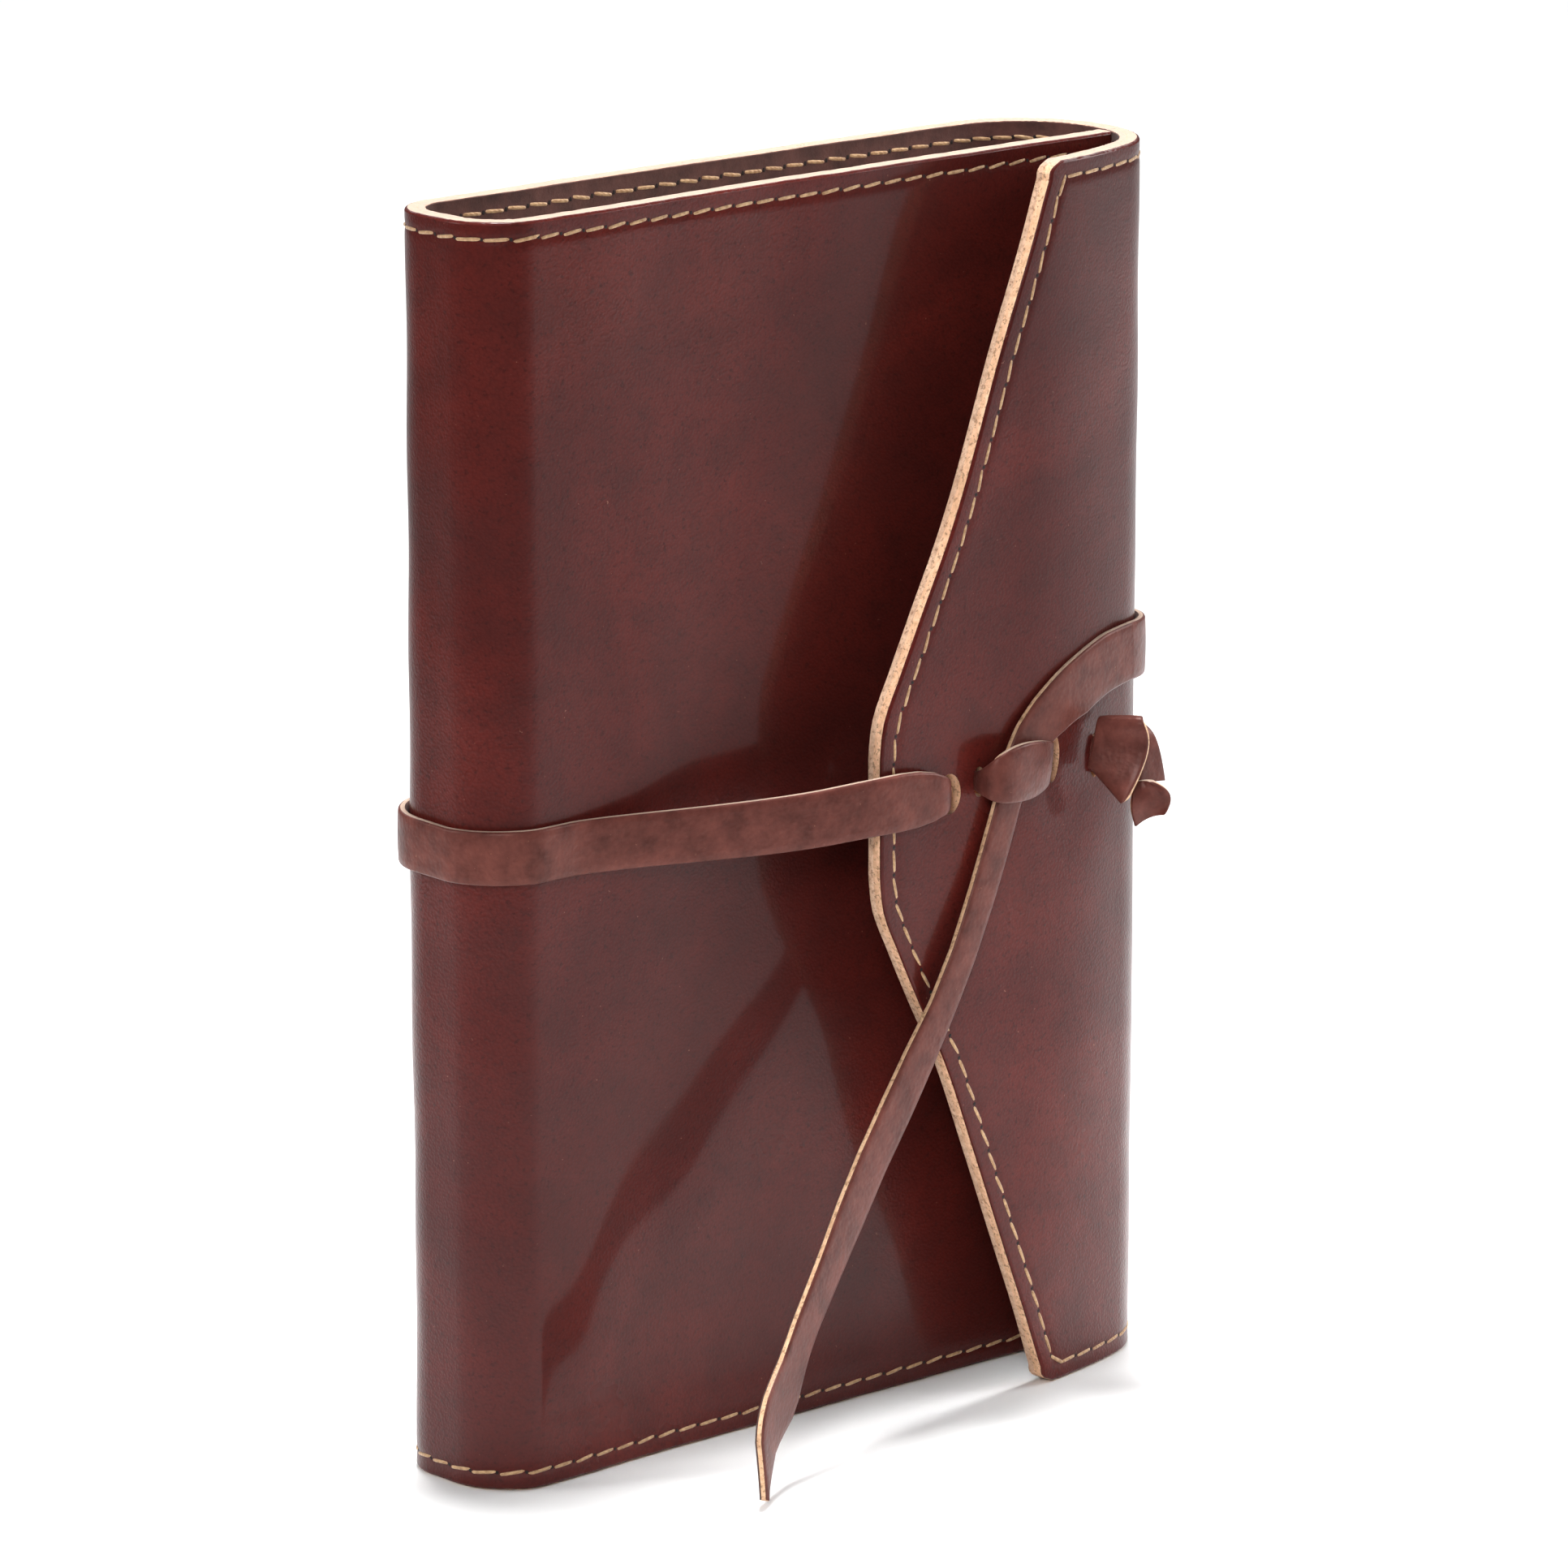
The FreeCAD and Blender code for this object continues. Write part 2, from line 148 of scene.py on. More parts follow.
def flap_s(x):
    """s of a place on the flap, from its x."""
    s = np.linspace(S_FLAP, S_TIP, 200)
    return np.interp(-np.asarray(x, float), -plan(s)[0], s)


# ---------------- the flap's outline
# half of the outline: distance from mid-height, and x
FLAP_OUTLINE = [(0, 0.0), (10, 0.0), (17, 1.0), (24, 4.3), (34, 9.3), (45, 15.0), (64, 22.8), (84, 30.4),
                (98, 36.0), (106.5, 39.3), (109, 40.4), (110, 42.4)]
OUTLINE_SCALE = MIDDLE_Z / FLAP_OUTLINE[-1][0]


def flap_edge_x(z):
    """x of the flap's free edge at height z, as a smooth curve through the outline's points."""
    at = np.array([p[0] for p in FLAP_OUTLINE]) * OUTLINE_SCALE
    value = np.array([p[1] for p in FLAP_OUTLINE]) + FLAP_TIP_X
    slope = np.gradient(value, at)
    slope[0] = 0
    away = np.clip(np.abs(np.asarray(z, float) - MIDDLE_Z), 0, at[-1])
    i = np.clip(np.searchsorted(at, away, side="right") - 1, 0, len(at) - 2)
    gap = at[i + 1] - at[i]
    t = (away - at[i]) / gap
    return ((2 * t**3 - 3 * t**2 + 1) * value[i] + (t**3 - 2 * t**2 + t) * gap * slope[i]
            + (3 * t**2 - 2 * t**3) * value[i + 1] + (t**3 - t**2) * gap * slope[i + 1])


def flap_edge_s(z):
    return flap_s(flap_edge_x(z))


# ---------------- how the leather departs from its plan
# height and width of each, in millimetres; the spine's corner swells wider on the front than on its side
SEAM_INSET = 3.0
SEAM_GROOVE, SEAM_GROOVE_WIDTH = 0.16, 0.7
SPINE_SWELL, SPINE_SWELL_FRONT, SPINE_SWELL_SIDE = 1.2, 27.0, 5.0
BACK_SWELL, BACK_SWELL_WIDTH = 0.8, 45.0
FOLD_TUCK, FOLD_TUCK_WIDTH = 1.0, 15.0
# how much nearer the flap's slanting edge is than its distance along s
FLAP_EDGE_LEAN = 0.88
FAR_OFF = 1e3
# dents in the flap where the strap pulls on it: x, z, radius, depth
DENTS = [(13.0, 112.0, 9.0, 0.25), (42.5, 108.0, 6.0, 0.45),
         (46.0, 103.0, 7.0, 0.45), (53.0, 112.0, 6.0, 0.8)]
# faint ripples all over: wavelength, angle and phase
RIPPLE_COUNT, RIPPLE_HEIGHT = 9, 0.05
RIPPLES = [(rng.uniform(26, 80), rng.uniform(0, FULL_TURN), rng.uniform(0, FULL_TURN))
           for _ in range(RIPPLE_COUNT)]


def hill(value, width):
    """1 at zero, falling smoothly to nothing over about twice that width."""
    return np.exp(-(value / width) ** 2)


def edge_distance(s, z):
    """How far a place is from the sheet's nearest cut edge."""
    flap = flap_edge_s(z) - s
    near_flap = np.where(s > S_MID_FORE, flap, FAR_OFF)
    return np.minimum(np.minimum(z, HEIGHT - z), np.minimum(s, near_flap * FLAP_EDGE_LEAN))


def swell(s, z):
    """How far the outer face stands out from its plan."""
    s, z = np.asarray(s, float), np.asarray(z, float)
    from_corner = s - S_FRONT_CORNER
    corner_width = np.where(from_corner < 0, SPINE_SWELL_FRONT, SPINE_SWELL_SIDE)
    out = SPINE_SWELL * hill(from_corner, corner_width)
    out += BACK_SWELL * hill(s - S_MID_BACK, BACK_SWELL_WIDTH)
    out -= FOLD_TUCK * hill(s - S_MID_FORE, FOLD_TUCK_WIDTH)
    for length, angle, phase in RIPPLES:
        wave = s * math.cos(angle) + z * math.sin(angle)
        out += RIPPLE_HEIGHT * np.sin(FULL_TURN * wave / length + phase)
    for x, high, radius, depth in DENTS:
        away = np.hypot(s - flap_s(x), z - high)
        out -= depth * hill(away, radius) * (s > S_MID_FORE)
    out -= SEAM_GROOVE * hill(edge_distance(s, z) - SEAM_INSET, SEAM_GROOVE_WIDTH)
    return out


def surface(s, z, depth=0.0):
    """Points of the cover in millimetres, in the row frame."""
    x, y, heading = plan(s)
    out = swell(s, z) - depth
    high = np.broadcast_to(z, x.shape)
    return np.stack([x - np.sin(heading) * out, y + np.cos(heading) * out, high], -1)


# ---------------- meshes
def make_mesh(name, points, faces, material_of, materials, uv=None, smooth_angle=50):
    """An object from points in millimetres. uv holds one (u, v) in metres for each point."""
    mesh = bpy.data.meshes.new(name)
    mesh.from_pydata([tuple(p) for p in np.asarray(points) * MM], [], faces)
    mesh.polygons.foreach_set("material_index", material_of)
    for material in materials:
        mesh.materials.append(material)
    mesh.polygons.foreach_set("use_smooth", [True] * len(faces))
    if uv is not None:
        layer = mesh.uv_layers.new(name="Sheet")
        corner = np.zeros(len(mesh.loops), int)
        mesh.loops.foreach_get("vertex_index", corner)
        layer.data.foreach_set("uv", np.asarray(uv)[corner].ravel())
    mesh.update()
    mesh.validate()
    mesh.set_sharp_from_angle(angle=math.radians(smooth_angle))
    piece = bpy.data.objects.new(name, mesh)
    bpy.context.scene.collection.objects.link(piece)
    return piece


def tube_faces(near, far, around):
    """The faces between two rings of points, from the number of each ring's first point."""
    faces = []
    for k in range(around):
        j = (k + 1) % around
        faces.append((near + j, near + k, far + k, far + j))
    return faces


def distances(line):
    """How far along the line each of its points is."""
    return np.concatenate([[0], np.cumsum(np.linalg.norm(np.diff(line, axis=0), axis=1))])


# how far the fibres of a cut edge vary, and the share of an arris's radius that its middle is cut back
FRAY, ARRIS = 0.09, 0.3


def inset_grid(s, z, distance, open_start, open_end):
    """The grids with their cut edges, but not their open sides, moved inwards."""
    s, z = s.copy(), z.copy()
    z[:, 0] += distance
    z[:, -1] -= distance
    if not open_start:
        s[0] += distance
    if not open_end:
        s[-1] -= distance
    return s, z


def slab(name, s, z, depth, thick, rounding, kinds, materials, open_start, open_end):
    """A closed sheet of leather over grids s and z, with rounded cut edges.

    rounding is the radius at the outer and at the inner arris. kinds are the material numbers of the
    five bands of the cut edge, from the outer face to the inner one; the faces use 0 and 1. An open
    side meets the next piece of the sheet, so it isn't rounded."""
    rows, columns = s.shape
    ring = [(i, 0) for i in range(rows)]
    ring += [(rows - 1, j) for j in range(1, columns)]
    ring += [(i, columns - 1) for i in range(rows - 2, -1, -1)]
    ring += [(0, j) for j in range(columns - 2, 0, -1)]
    ri, rj = np.array(ring).T
    outer, inner = rounding
    levels = [(outer, 0.0), (ARRIS * outer, ARRIS * outer), (0.0, outer),
              (0.0, thick - inner), (ARRIS * inner, thick - ARRIS * inner), (inner, thick)]
    points, uv = [], []
    for k, (inset, below) in enumerate(levels):
        level_s, level_z = inset_grid(s, z, inset, open_start, open_end)
        on_edge = 0 < k < len(levels) - 1
        if on_edge:
            level_s, level_z = level_s[ri, rj], level_z[ri, rj]
            fray = np.array([rng.uniform(0, FRAY) for _ in ring])
            at_end = np.minimum(level_z, HEIGHT - level_z) < 1
            level_z = level_z + fray * np.sign(MIDDLE_Z - level_z) * at_end
        points.append(surface(level_s, level_z, depth + below).reshape(-1, 3))
        uv.append(np.stack([level_s, level_z + below * on_edge], -1).reshape(-1, 2) * MM)
    order = [0, 5, 1, 2, 3, 4]
    points = np.concatenate([points[k] for k in order])
    uv = np.concatenate([uv[k] for k in order])
    size, around = rows * columns, len(ring)
    faces, face_kinds = [], []
    for i in range(rows - 1):
        for j in range(columns - 1):
            a = i * columns + j
            b, c, d = a + 1, a + columns + 1, a + columns
            faces += [(a, b, c, d), (a + size, d + size, c + size, b + size)]
            face_kinds += [0, 1]
    loops = [ri * columns + rj] + [2 * size + k * around + np.arange(around) for k in range(4)]
    loops.append(ri * columns + rj + size)
    for kind, one, two in zip(kinds, loops, loops[1:]):
        for i in range(around):
            j = (i + 1) % around
            faces.append((int(one[j]), int(one[i]), int(two[i]), int(two[j])))
            face_kinds.append(kind)
    return make_mesh(name, points, faces, face_kinds, materials, uv)


# the grid's lines: their distances from a cut edge, then even steps over flat and curved leather
EDGE_STEPS = [0, 0.5, 1.0, 1.7, 2.3, 2.7, 3.0, 3.3, 3.7, 4.3, 5.2, 6.5, 8.2]
GRID_STEP, CURVE_STEP = 2.2, 0.7
FLAP_COLUMNS, MOST_STRETCH = 33, 1.5


def heights():
    """The grid's z values, closer together near the cut edges."""
    low = np.array(EDGE_STEPS)
    middle = np.linspace(low[-1], HEIGHT - low[-1], int((HEIGHT - 2 * low[-1]) / GRID_STEP))
    return np.concatenate([low, middle[1:-1], (HEIGHT - low)[::-1]])


def along(start, end):
    """Values of s from start to end, closer together where the sheet curves."""
    stops = [start] + [join for join in S_JOINS if start < join < end] + [end]
    values = [start]
    for a, b in zip(stops, stops[1:]):
        i = np.searchsorted(S_JOINS, (a + b) / 2) - 1
        radius = SEGMENTS[i][1]
        step = CURVE_STEP if 0 < radius <= FORE_RADIUS else GRID_STEP
        values += list(np.linspace(a, b, max(2, math.ceil((b - a) / step) + 1))[1:])
    return np.array(values)


def section_grid(start, end):
    """Grids of s and z for one section of the sheet."""
    z = heights()
    if end < S_TIP:
        s = along(start, end)
        if start == 0:
            s = np.concatenate([EDGE_STEPS, s[s > EDGE_STEPS[-1] + 1]])
        return np.meshgrid(s, z, indexing="ij")
    edge = flap_edge_s(z)
    slope = np.abs(np.gradient(edge, z))
    stretch = np.minimum(np.hypot(1, slope), MOST_STRETCH)
    steps = np.array(EDGE_STEPS[::-1])
    inner_end = edge - steps[0] * stretch
    fold = along(start, S_FLAP)
    share = np.linspace(0, 1, FLAP_COLUMNS + 1)[1:]
    columns = [np.full_like(z, value) for value in fold]
    columns += [S_FLAP + t * (inner_end - S_FLAP) for t in share]
    columns += [edge - step * stretch for step in steps[1:]]
    s = np.array(columns)
    return s, np.broadcast_to(z, s.shape).copy()


# ---------------- stitching
STITCH_PITCH, STITCH_LENGTH = 4.9, 5.3
THREAD_RADIUS, THREAD_FLATNESS = 0.34, 0.8
# the needle holes are flat dark discs of painted shade, lying a little proud of the leather
HOLE_RADIUS, HOLE_FLATNESS = 0.38, 0.15
# a stitch's end: the square of its width's share, and its dip in radii
END_SHARE, END_DIP = 0.08, 1.5
STITCH_SLANT, STITCH_WOBBLE = math.radians(-6), 0.06
STITCH_SUNK, HOLE_PROUD = 0.05, 0.02


def seam_path():
    """The seam's places (s, z) all round the sheet, at equal distances."""
    z = np.linspace(0, HEIGHT, 600)
    edge = np.stack([flap_edge_s(z), z], -1)
    way = np.gradient(edge, axis=0)
    way /= np.linalg.norm(way, axis=1)[:, None]
    inner = edge + SEAM_INSET * np.stack([-way[:, 1], way[:, 0]], -1)
    inner = inner[(inner[:, 1] > SEAM_INSET) & (inner[:, 1] < HEIGHT - SEAM_INSET)]
    line = np.concatenate([[[SEAM_INSET, HEIGHT - SEAM_INSET], [SEAM_INSET, SEAM_INSET]],
                           [[s, SEAM_INSET] for s in np.arange(SEAM_INSET, inner[0, 0], 1.0)],
                           inner,
                           [[s, HEIGHT - SEAM_INSET] for s in np.arange(inner[-1, 0], SEAM_INSET, -1.0)]])
    far = distances(line)
    at = np.arange(0, far[-1], STITCH_PITCH)
    return np.stack([np.interp(at, far, line[:, k]) for k in range(2)], -1)


def capsule(length, radius, rings=7, sides=8):
    """Points and faces of a stitch that lies along x, with narrow ends that dip into the leather."""
    points = []
    for i in range(rings):
        t = -1 + 2 * i / (rings - 1)
        wide = radius * math.sqrt(max(END_SHARE, 1 - abs(t) ** 4))
        dip = -radius * END_DIP * abs(t) ** 6
        for k in range(sides):
            turn = FULL_TURN * k / sides
            high = THREAD_FLATNESS * wide * math.sin(turn)
            points.append((t * length / 2, wide * math.cos(turn), dip + high))
    faces = [tuple(range(sides))[::-1], tuple(range((rings - 1) * sides, rings * sides))]
    for i in range(rings - 1):
        for k in range(sides):
            j = (k + 1) % sides
            faces.append((i * sides + k, i * sides + j, (i + 1) * sides + j, (i + 1) * sides + k))
    return np.array(points), faces


def place_copies(name, shape, places, material):
    """One object made of copies of a small shape, each in its own frame (origin and x, y, z axes)."""
    base, base_faces = shape
    points, faces = [], []
    for origin, axes in places:
        first = len(points) * len(base)
        points.append(origin + base @ axes)
        faces += [tuple(first + i for i in face) for face in base_faces]
    return make_mesh(name, np.concatenate(points), faces, [0] * len(faces), [material])


def sheet_frame(s, z, depth, turn, outward):
    """A point on the sheet and axes there: turned by that angle in the sheet, with z standing out."""
    step = 0.5
    here = surface(np.array([s]), np.array([z]), depth)[0]
    ahead = surface(np.array([s + step]), np.array([z]), depth)[0] - here
    above = surface(np.array([s]), np.array([z + step]), depth)[0] - here
    ahead /= np.linalg.norm(ahead)
    above = above - ahead * (above @ ahead)
    above /= np.linalg.norm(above)
    x = ahead * math.cos(turn) + above * math.sin(turn)
    up = np.cross(ahead, above)
    _, _, heading = plan(np.array([s]))
    out = np.array([-math.sin(heading[0]), math.cos(heading[0]), 0]) * outward
    if up @ out < 0:
        up = -up
    return here, np.stack([x, np.cross(up, x), up])


def stitches(name, start, end, depth, outward):
    """The seam's stitches on one face of one section, and dark discs of painted shade at the needle holes
    between them.
    """
    seam = seam_path()
    threads, holes = [], []
    for (s, z), (s2, z2) in zip(seam, np.roll(seam, -1, axis=0)):
        if not start <= (s + s2) / 2 < end:
            continue
        turn = math.atan2(z2 - z, s2 - s) + STITCH_SLANT + rng.uniform(-STITCH_WOBBLE, STITCH_WOBBLE)
        level = depth + STITCH_SUNK * outward
        threads.append(sheet_frame((s + s2) / 2, (z + z2) / 2, level, turn, outward))
        holes.append(sheet_frame(s, z, depth - HOLE_PROUD * outward, turn, outward))
    thread_piece = place_copies(name, capsule(STITCH_LENGTH, THREAD_RADIUS), threads, THREAD)
    points, faces = capsule(2 * HOLE_RADIUS, HOLE_RADIUS, rings=5)
    disc = points * [1, 1, HOLE_FLATNESS], faces
    hole_shade_piece = place_copies(name + "_holes", disc, holes, NEEDLE_HOLE_SHADE)
    return thread_piece, hole_shade_piece


# ---------------- materials
def new_material(name, colour, roughness, **sockets):
    """A material with its shader; sockets are named with _ for each space."""
    material = bpy.data.materials.new(name)
    material.use_nodes = True
    shader = material.node_tree.nodes["Principled BSDF"]
    shader.inputs["Base Color"].default_value = (*colour, 1)
    shader.inputs["Roughness"].default_value = roughness
    for socket, value in sockets.items():
        shader.inputs[socket.replace("_", " ")].default_value = value
    return material, material.node_tree, shader


def node(tree, kind, settings=(), **inputs):
    """A shader node; each input is a value, or another node's socket that is linked to it."""
    made = tree.nodes.new("ShaderNode" + kind)
    for key, value in settings:
        setattr(made, key, value)
    for key, value in inputs.items():
        socket = made.inputs[key.replace("_", " ")]
        if isinstance(value, bpy.types.NodeSocket):
            tree.links.new(value, socket)
        else:
            socket.default_value = value
    return made


def sheet_place(tree):
    return node(tree, "UVMap", [("uv_map", "Sheet")]).outputs["UV"]


def object_place(tree):
    return node(tree, "TexCoord").outputs["Object"]


def noise(tree, place, size, detail=3.0, roughness=0.55, distortion=0.0):
    """Noise whose features are about that many millimetres across, from 0 to 1."""
    return node(tree, "TexNoise", Vector=place, Scale=1 / (size * MM), Detail=detail, Roughness=roughness,
                Distortion=distortion).outputs["Fac"]


def ramp(tree, value, stops):
    """Colours that follow a value, from stops of (position, colour)."""
    made = node(tree, "ValToRGB", Fac=value)
    elements = made.color_ramp.elements
    while len(elements) < len(stops):
        elements.new(0.5)
    for element, (position, colour) in zip(elements, stops):
        element.position = position
        element.color = (*colour, 1)
    return made.outputs["Color"]


def scale_value(tree, value, low, high, to_low, to_high):
    """The value taken smoothly from the range low to high to the range to_low to to_high."""
    return node(tree, "MapRange", [("interpolation_type", "SMOOTHSTEP")], Value=value,
                From_Min=low, From_Max=high, To_Min=to_low, To_Max=to_high).outputs["Result"]


# a colour Mix node's sockets: their names are shared with its number sockets
MIX_SHARE, MIX_UNDER, MIX_OVER, MIXED = 0, 6, 7, 2


def stain(tree, base, colour, where, low, high, share):
    """base with a colour over it: none where a value is at low, and that share of it at high."""
    mix = node(tree, "Mix", [("data_type", "RGBA")])
    tree.links.new(scale_value(tree, where, low, high, 0, share), mix.inputs[MIX_SHARE])
    tree.links.new(base, mix.inputs[MIX_UNDER])
    mix.inputs[MIX_OVER].default_value = (*colour, 1)
    return mix.outputs[MIXED]


def leather_grain(tree, place, size):
    """Distance from the middle of cells that are about that many millimetres across."""
    return node(tree, "TexVoronoi", [("feature", "SMOOTH_F1")], Vector=place, Scale=1 / (size * MM),
                Smoothness=0.6).outputs["Distance"]


def add_bumps(tree, shader, bumps):
    """Stacks (height, strength, distance in mm) bumps and leads them to the shader."""
    normal = None
    for height, strength, distance in bumps:
        bump = node(tree, "Bump", Height=height, Strength=strength, Distance=distance * MM)
        if normal is not None:
            tree.links.new(normal, bump.inputs["Normal"])
        normal = bump.outputs["Normal"]
    tree.links.new(normal, shader.inputs["Normal"])


def cover_leather():
    """Glossy mahogany leather: cloudy colour, light and dark specks, fine grain and a thin lacquer."""
    material, tree, shader = new_material("cover_leather", (0.1, 0.025, 0.02), 0.3, Coat_Weight=0.19,
                                          Coat_Roughness=0.09, Specular_IOR_Level=0.1)
    place = sheet_place(tree)
    clouds = noise(tree, place, 70, detail=5, roughness=0.6, distortion=0.5)
    mottle = noise(tree, place, 9, detail=4)
    specks = noise(tree, place, 1.1, detail=2)
    base = ramp(tree, clouds, [(0.3, (0.052, 0.0075, 0.006)), (0.5, (0.08, 0.0105, 0.008)),
                               (0.7, (0.114, 0.015, 0.011))])
    grain = leather_grain(tree, place, 0.5)
    base = stain(tree, base, (0.036, 0.008, 0.007), mottle, 0.35, 0.7, 0.35)
    base = stain(tree, base, (0.3, 0.12, 0.08), specks, 0.72, 0.8, 0.5)
    base = stain(tree, base, (0.02, 0.005, 0.004), specks, 0.42, 0.3, 0.45)
    base = stain(tree, base, (0.024, 0.006, 0.005), grain, 0.35, 0.8, 0.25)
    tree.links.new(base, shader.inputs["Base Color"])
    tree.links.new(scale_value(tree, clouds, 0.3, 0.7, 0.42, 0.26), shader.inputs["Roughness"])
    add_bumps(tree, shader, [(noise(tree, place, 14, detail=2), 0.25, 0.5),
                             (noise(tree, place, 2.6), 0.3, 0.1),
                             (grain, 0.5, 0.12),
                             (noise(tree, place, 0.5), 0.25, 0.06)])
    return material


def suede():
    """Matt brown nap."""
    material, tree, shader = new_material("suede", (0.09, 0.034, 0.027), 0.95, Sheen_Weight=0.1,
                                          Sheen_Roughness=0.5)
    place = object_place(tree)
    nap = noise(tree, place, 6, detail=6, roughness=0.7)
    base = ramp(tree, nap, [(0.3, (0.045, 0.016, 0.0125)), (0.7, (0.125, 0.045, 0.036))])
    tree.links.new(base, shader.inputs["Base Color"])
    add_bumps(tree, shader, [(noise(tree, place, 0.8, detail=5, roughness=0.7), 0.5, 0.25)])
    return material


# colours that every cut edge shares
# the first of these is painted shade, laid over a cut edge where it faces up
UP_FACING_SHADE = (0.42, 0.31, 0.25)
EDGE_PORE = (0.2, 0.09, 0.04)


def cut_edge(name, light, dark):
    """Raw fibres of a cut edge, with painted shade that greys and darkens it where it faces up."""
    material, tree, shader = new_material(name, light, 0.85)
    place = object_place(tree)
    fibres = noise(tree, place, 1.2, detail=5, roughness=0.75)
    patches = noise(tree, place, 14, detail=2)
    base = ramp(tree, fibres, [(0.3, dark), (0.62, light)])
    pores = noise(tree, place, 0.7, detail=2)
    normal = node(tree, "NewGeometry").outputs["Normal"]
    facing_up = node(tree, "SeparateXYZ", Vector=normal).outputs["Z"]
    base = stain(tree, base, dark, patches, 0.4, 0.75, 0.4)
    base = stain(tree, base, EDGE_PORE, pores, 0.46, 0.34, 0.65)
    # painted shade: greyer and darker where the edge faces up
    base = stain(tree, base, UP_FACING_SHADE, facing_up, 0.75, 0.98, 0.85)
    tree.links.new(base, shader.inputs["Base Color"])
    add_bumps(tree, shader, [(fibres, 0.6, 0.25)])
    return material


def strap_leather():
    """Softer, duller leather than the cover's, with a coarser grain."""
    material, tree, shader = new_material("strap_leather", (0.1, 0.03, 0.025), 0.42, Coat_Weight=0.08,
                                          Coat_Roughness=0.25, Specular_IOR_Level=0.25,
                                          Specular_Tint=(1.0, 0.6, 0.52, 1))
    place = object_place(tree)
    mottle = noise(tree, place, 5, detail=5, roughness=0.65)
    base = ramp(tree, mottle, [(0.3, (0.055, 0.015, 0.012)), (0.7, (0.145, 0.043, 0.033))])
    specks = noise(tree, place, 0.9)
    base = stain(tree, base, (0.34, 0.15, 0.1), specks, 0.7, 0.78, 0.45)
    tree.links.new(base, shader.inputs["Base Color"])
    grain = leather_grain(tree, place, 0.8)
    add_bumps(tree, shader, [(noise(tree, place, 3, detail=3), 0.45, 0.35), (grain, 0.5, 0.12)])
    return material


def thread_material():
    """Waxed tan thread with a slanting twist."""
    material, tree, shader = new_material("thread", (0.45, 0.26, 0.12), 0.6, Sheen_Weight=0.2)
    place = object_place(tree)
    base = ramp(tree, noise(tree, place, 0.7, detail=3), [(0.3, (0.3, 0.15, 0.06)), (0.7, (0.6, 0.38, 0.2))])
    tree.links.new(base, shader.inputs["Base Color"])
    twist = node(tree, "TexWave", [("bands_direction", "DIAGONAL")], Vector=place, Scale=1 / (1.6 * MM),
                 Distortion=1.0).outputs["Fac"]
    add_bumps(tree, shader, [(twist, 0.5, 0.12)])
    return material


def plain_material(name, low, high, size, roughness, bump=0.2):
    """Fibres of about that size in millimetres, between two colours."""
    material, tree, shader = new_material(name, high, roughness)
    place = object_place(tree)
    fibres = noise(tree, place, size, detail=5, roughness=0.65)
    tree.links.new(ramp(tree, fibres, [(0.3, low), (0.7, high)]), shader.inputs["Base Color"])
    add_bumps(tree, shader, [(fibres, bump, 0.15)])
    return material


COVER_LEATHER = cover_leather()
SUEDE = suede()
CUT_LEATHER = cut_edge("cut_leather", (0.92, 0.58, 0.37), (0.58, 0.32, 0.17))
CUT_LINING = cut_edge("cut_lining", (0.76, 0.52, 0.36), (0.42, 0.23, 0.14))
STRAP_LEATHER = strap_leather()
STRAP_EDGE = cut_edge("strap_edge", (0.74, 0.49, 0.3), (0.5, 0.28, 0.15))
STRAP_BACK = plain_material("strap_back", (0.045, 0.018, 0.014), (0.085, 0.034, 0.027), 2.0, 0.9, 0.4)
THREAD = thread_material()
# painted shade: near-black discs stand for the shade inside the needle holes
NEEDLE_HOLE_SHADE = plain_material("needle_hole_shade", (0.006, 0.002, 0.0015), (0.014, 0.005, 0.004), 1.0, 0.9)
PAPER = plain_material("paper", (0.7, 0.65, 0.54), (0.82, 0.78, 0.68), 4.0, 0.9, 0.1)
CARD = plain_material("card", (0.22, 0.16, 0.1), (0.36, 0.27, 0.18), 1.5, 0.85, 0.2)
CLOTH = plain_material("cloth", (0.07, 0.045, 0.03), (0.2, 0.13, 0.09), 0.7, 0.9, 0.6)


# ---------------- the cover's four sections
def hinge(start, end):
    return {"start": tuple(c * MM for c in (*start, MIDDLE_Z)),
            "end": tuple(c * MM for c in (*end, MIDDLE_Z))}


HALF_FOLD = math.radians(30)
HALF_FOLD_X = FORE_X + FORE_RADIUS * math.cos(HALF_FOLD)
FOLD_END_X = FORE_X + FORE_RADIUS * math.cos(FOLD_END)
# name: first and last s, the two bodies that it lies between and the line of the hinge between them, and the
# CAD nodes it stands for
SECTIONS = {
    "front": (0.0, S_MID_SPINE, "spine", "front_cover",
              hinge((spine_low[0], FRONT_Y + SPINE_RADIUS), (START_X, FRONT_Y))),
    "spine": (S_MID_SPINE, S_MID_BACK, "spine", "back_cover",
              hinge((spine_low[0], BACK_Y - SPINE_RADIUS), (START_X, BACK_Y))),
    "back": (S_MID_BACK, S_MID_FORE, "back_cover", "fore_edge",
             hinge((FORE_X, BACK_Y), (HALF_FOLD_X, FORE_Y + FORE_RADIUS / 2))),
    "flap": (S_MID_FORE, S_TIP, "fore_edge", "flap",
             hinge((HALF_FOLD_X, FORE_Y - FORE_RADIUS / 2), (FOLD_END_X, fore_low[1]))),
}


def bend(piece):
    """Bakes a piece's transform into its mesh."""
    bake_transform(piece)


def stand_for(piece, section, part):
    """Bakes a piece's transform into its mesh, and hides the two CAD nodes of that part that it stands for.
    """
    _, _, one, two, _ = SECTIONS[section]
    bend(piece)
    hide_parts(f"{one}_{part}", f"{two}_{part}")


# the four slots in the flap: x and z of the middle, width and height
SLOTS = [(15.2, 111.9, 5.4, 7.2), (22.2, 113.0, 2.8, 5.4),
         (40.2, 114.2, 3.4, 8.8), (52.6, 112.6, 2.8, 8.4)]
SLOT_SIDES, SLOT_SMOOTH_ANGLE = 24, 40


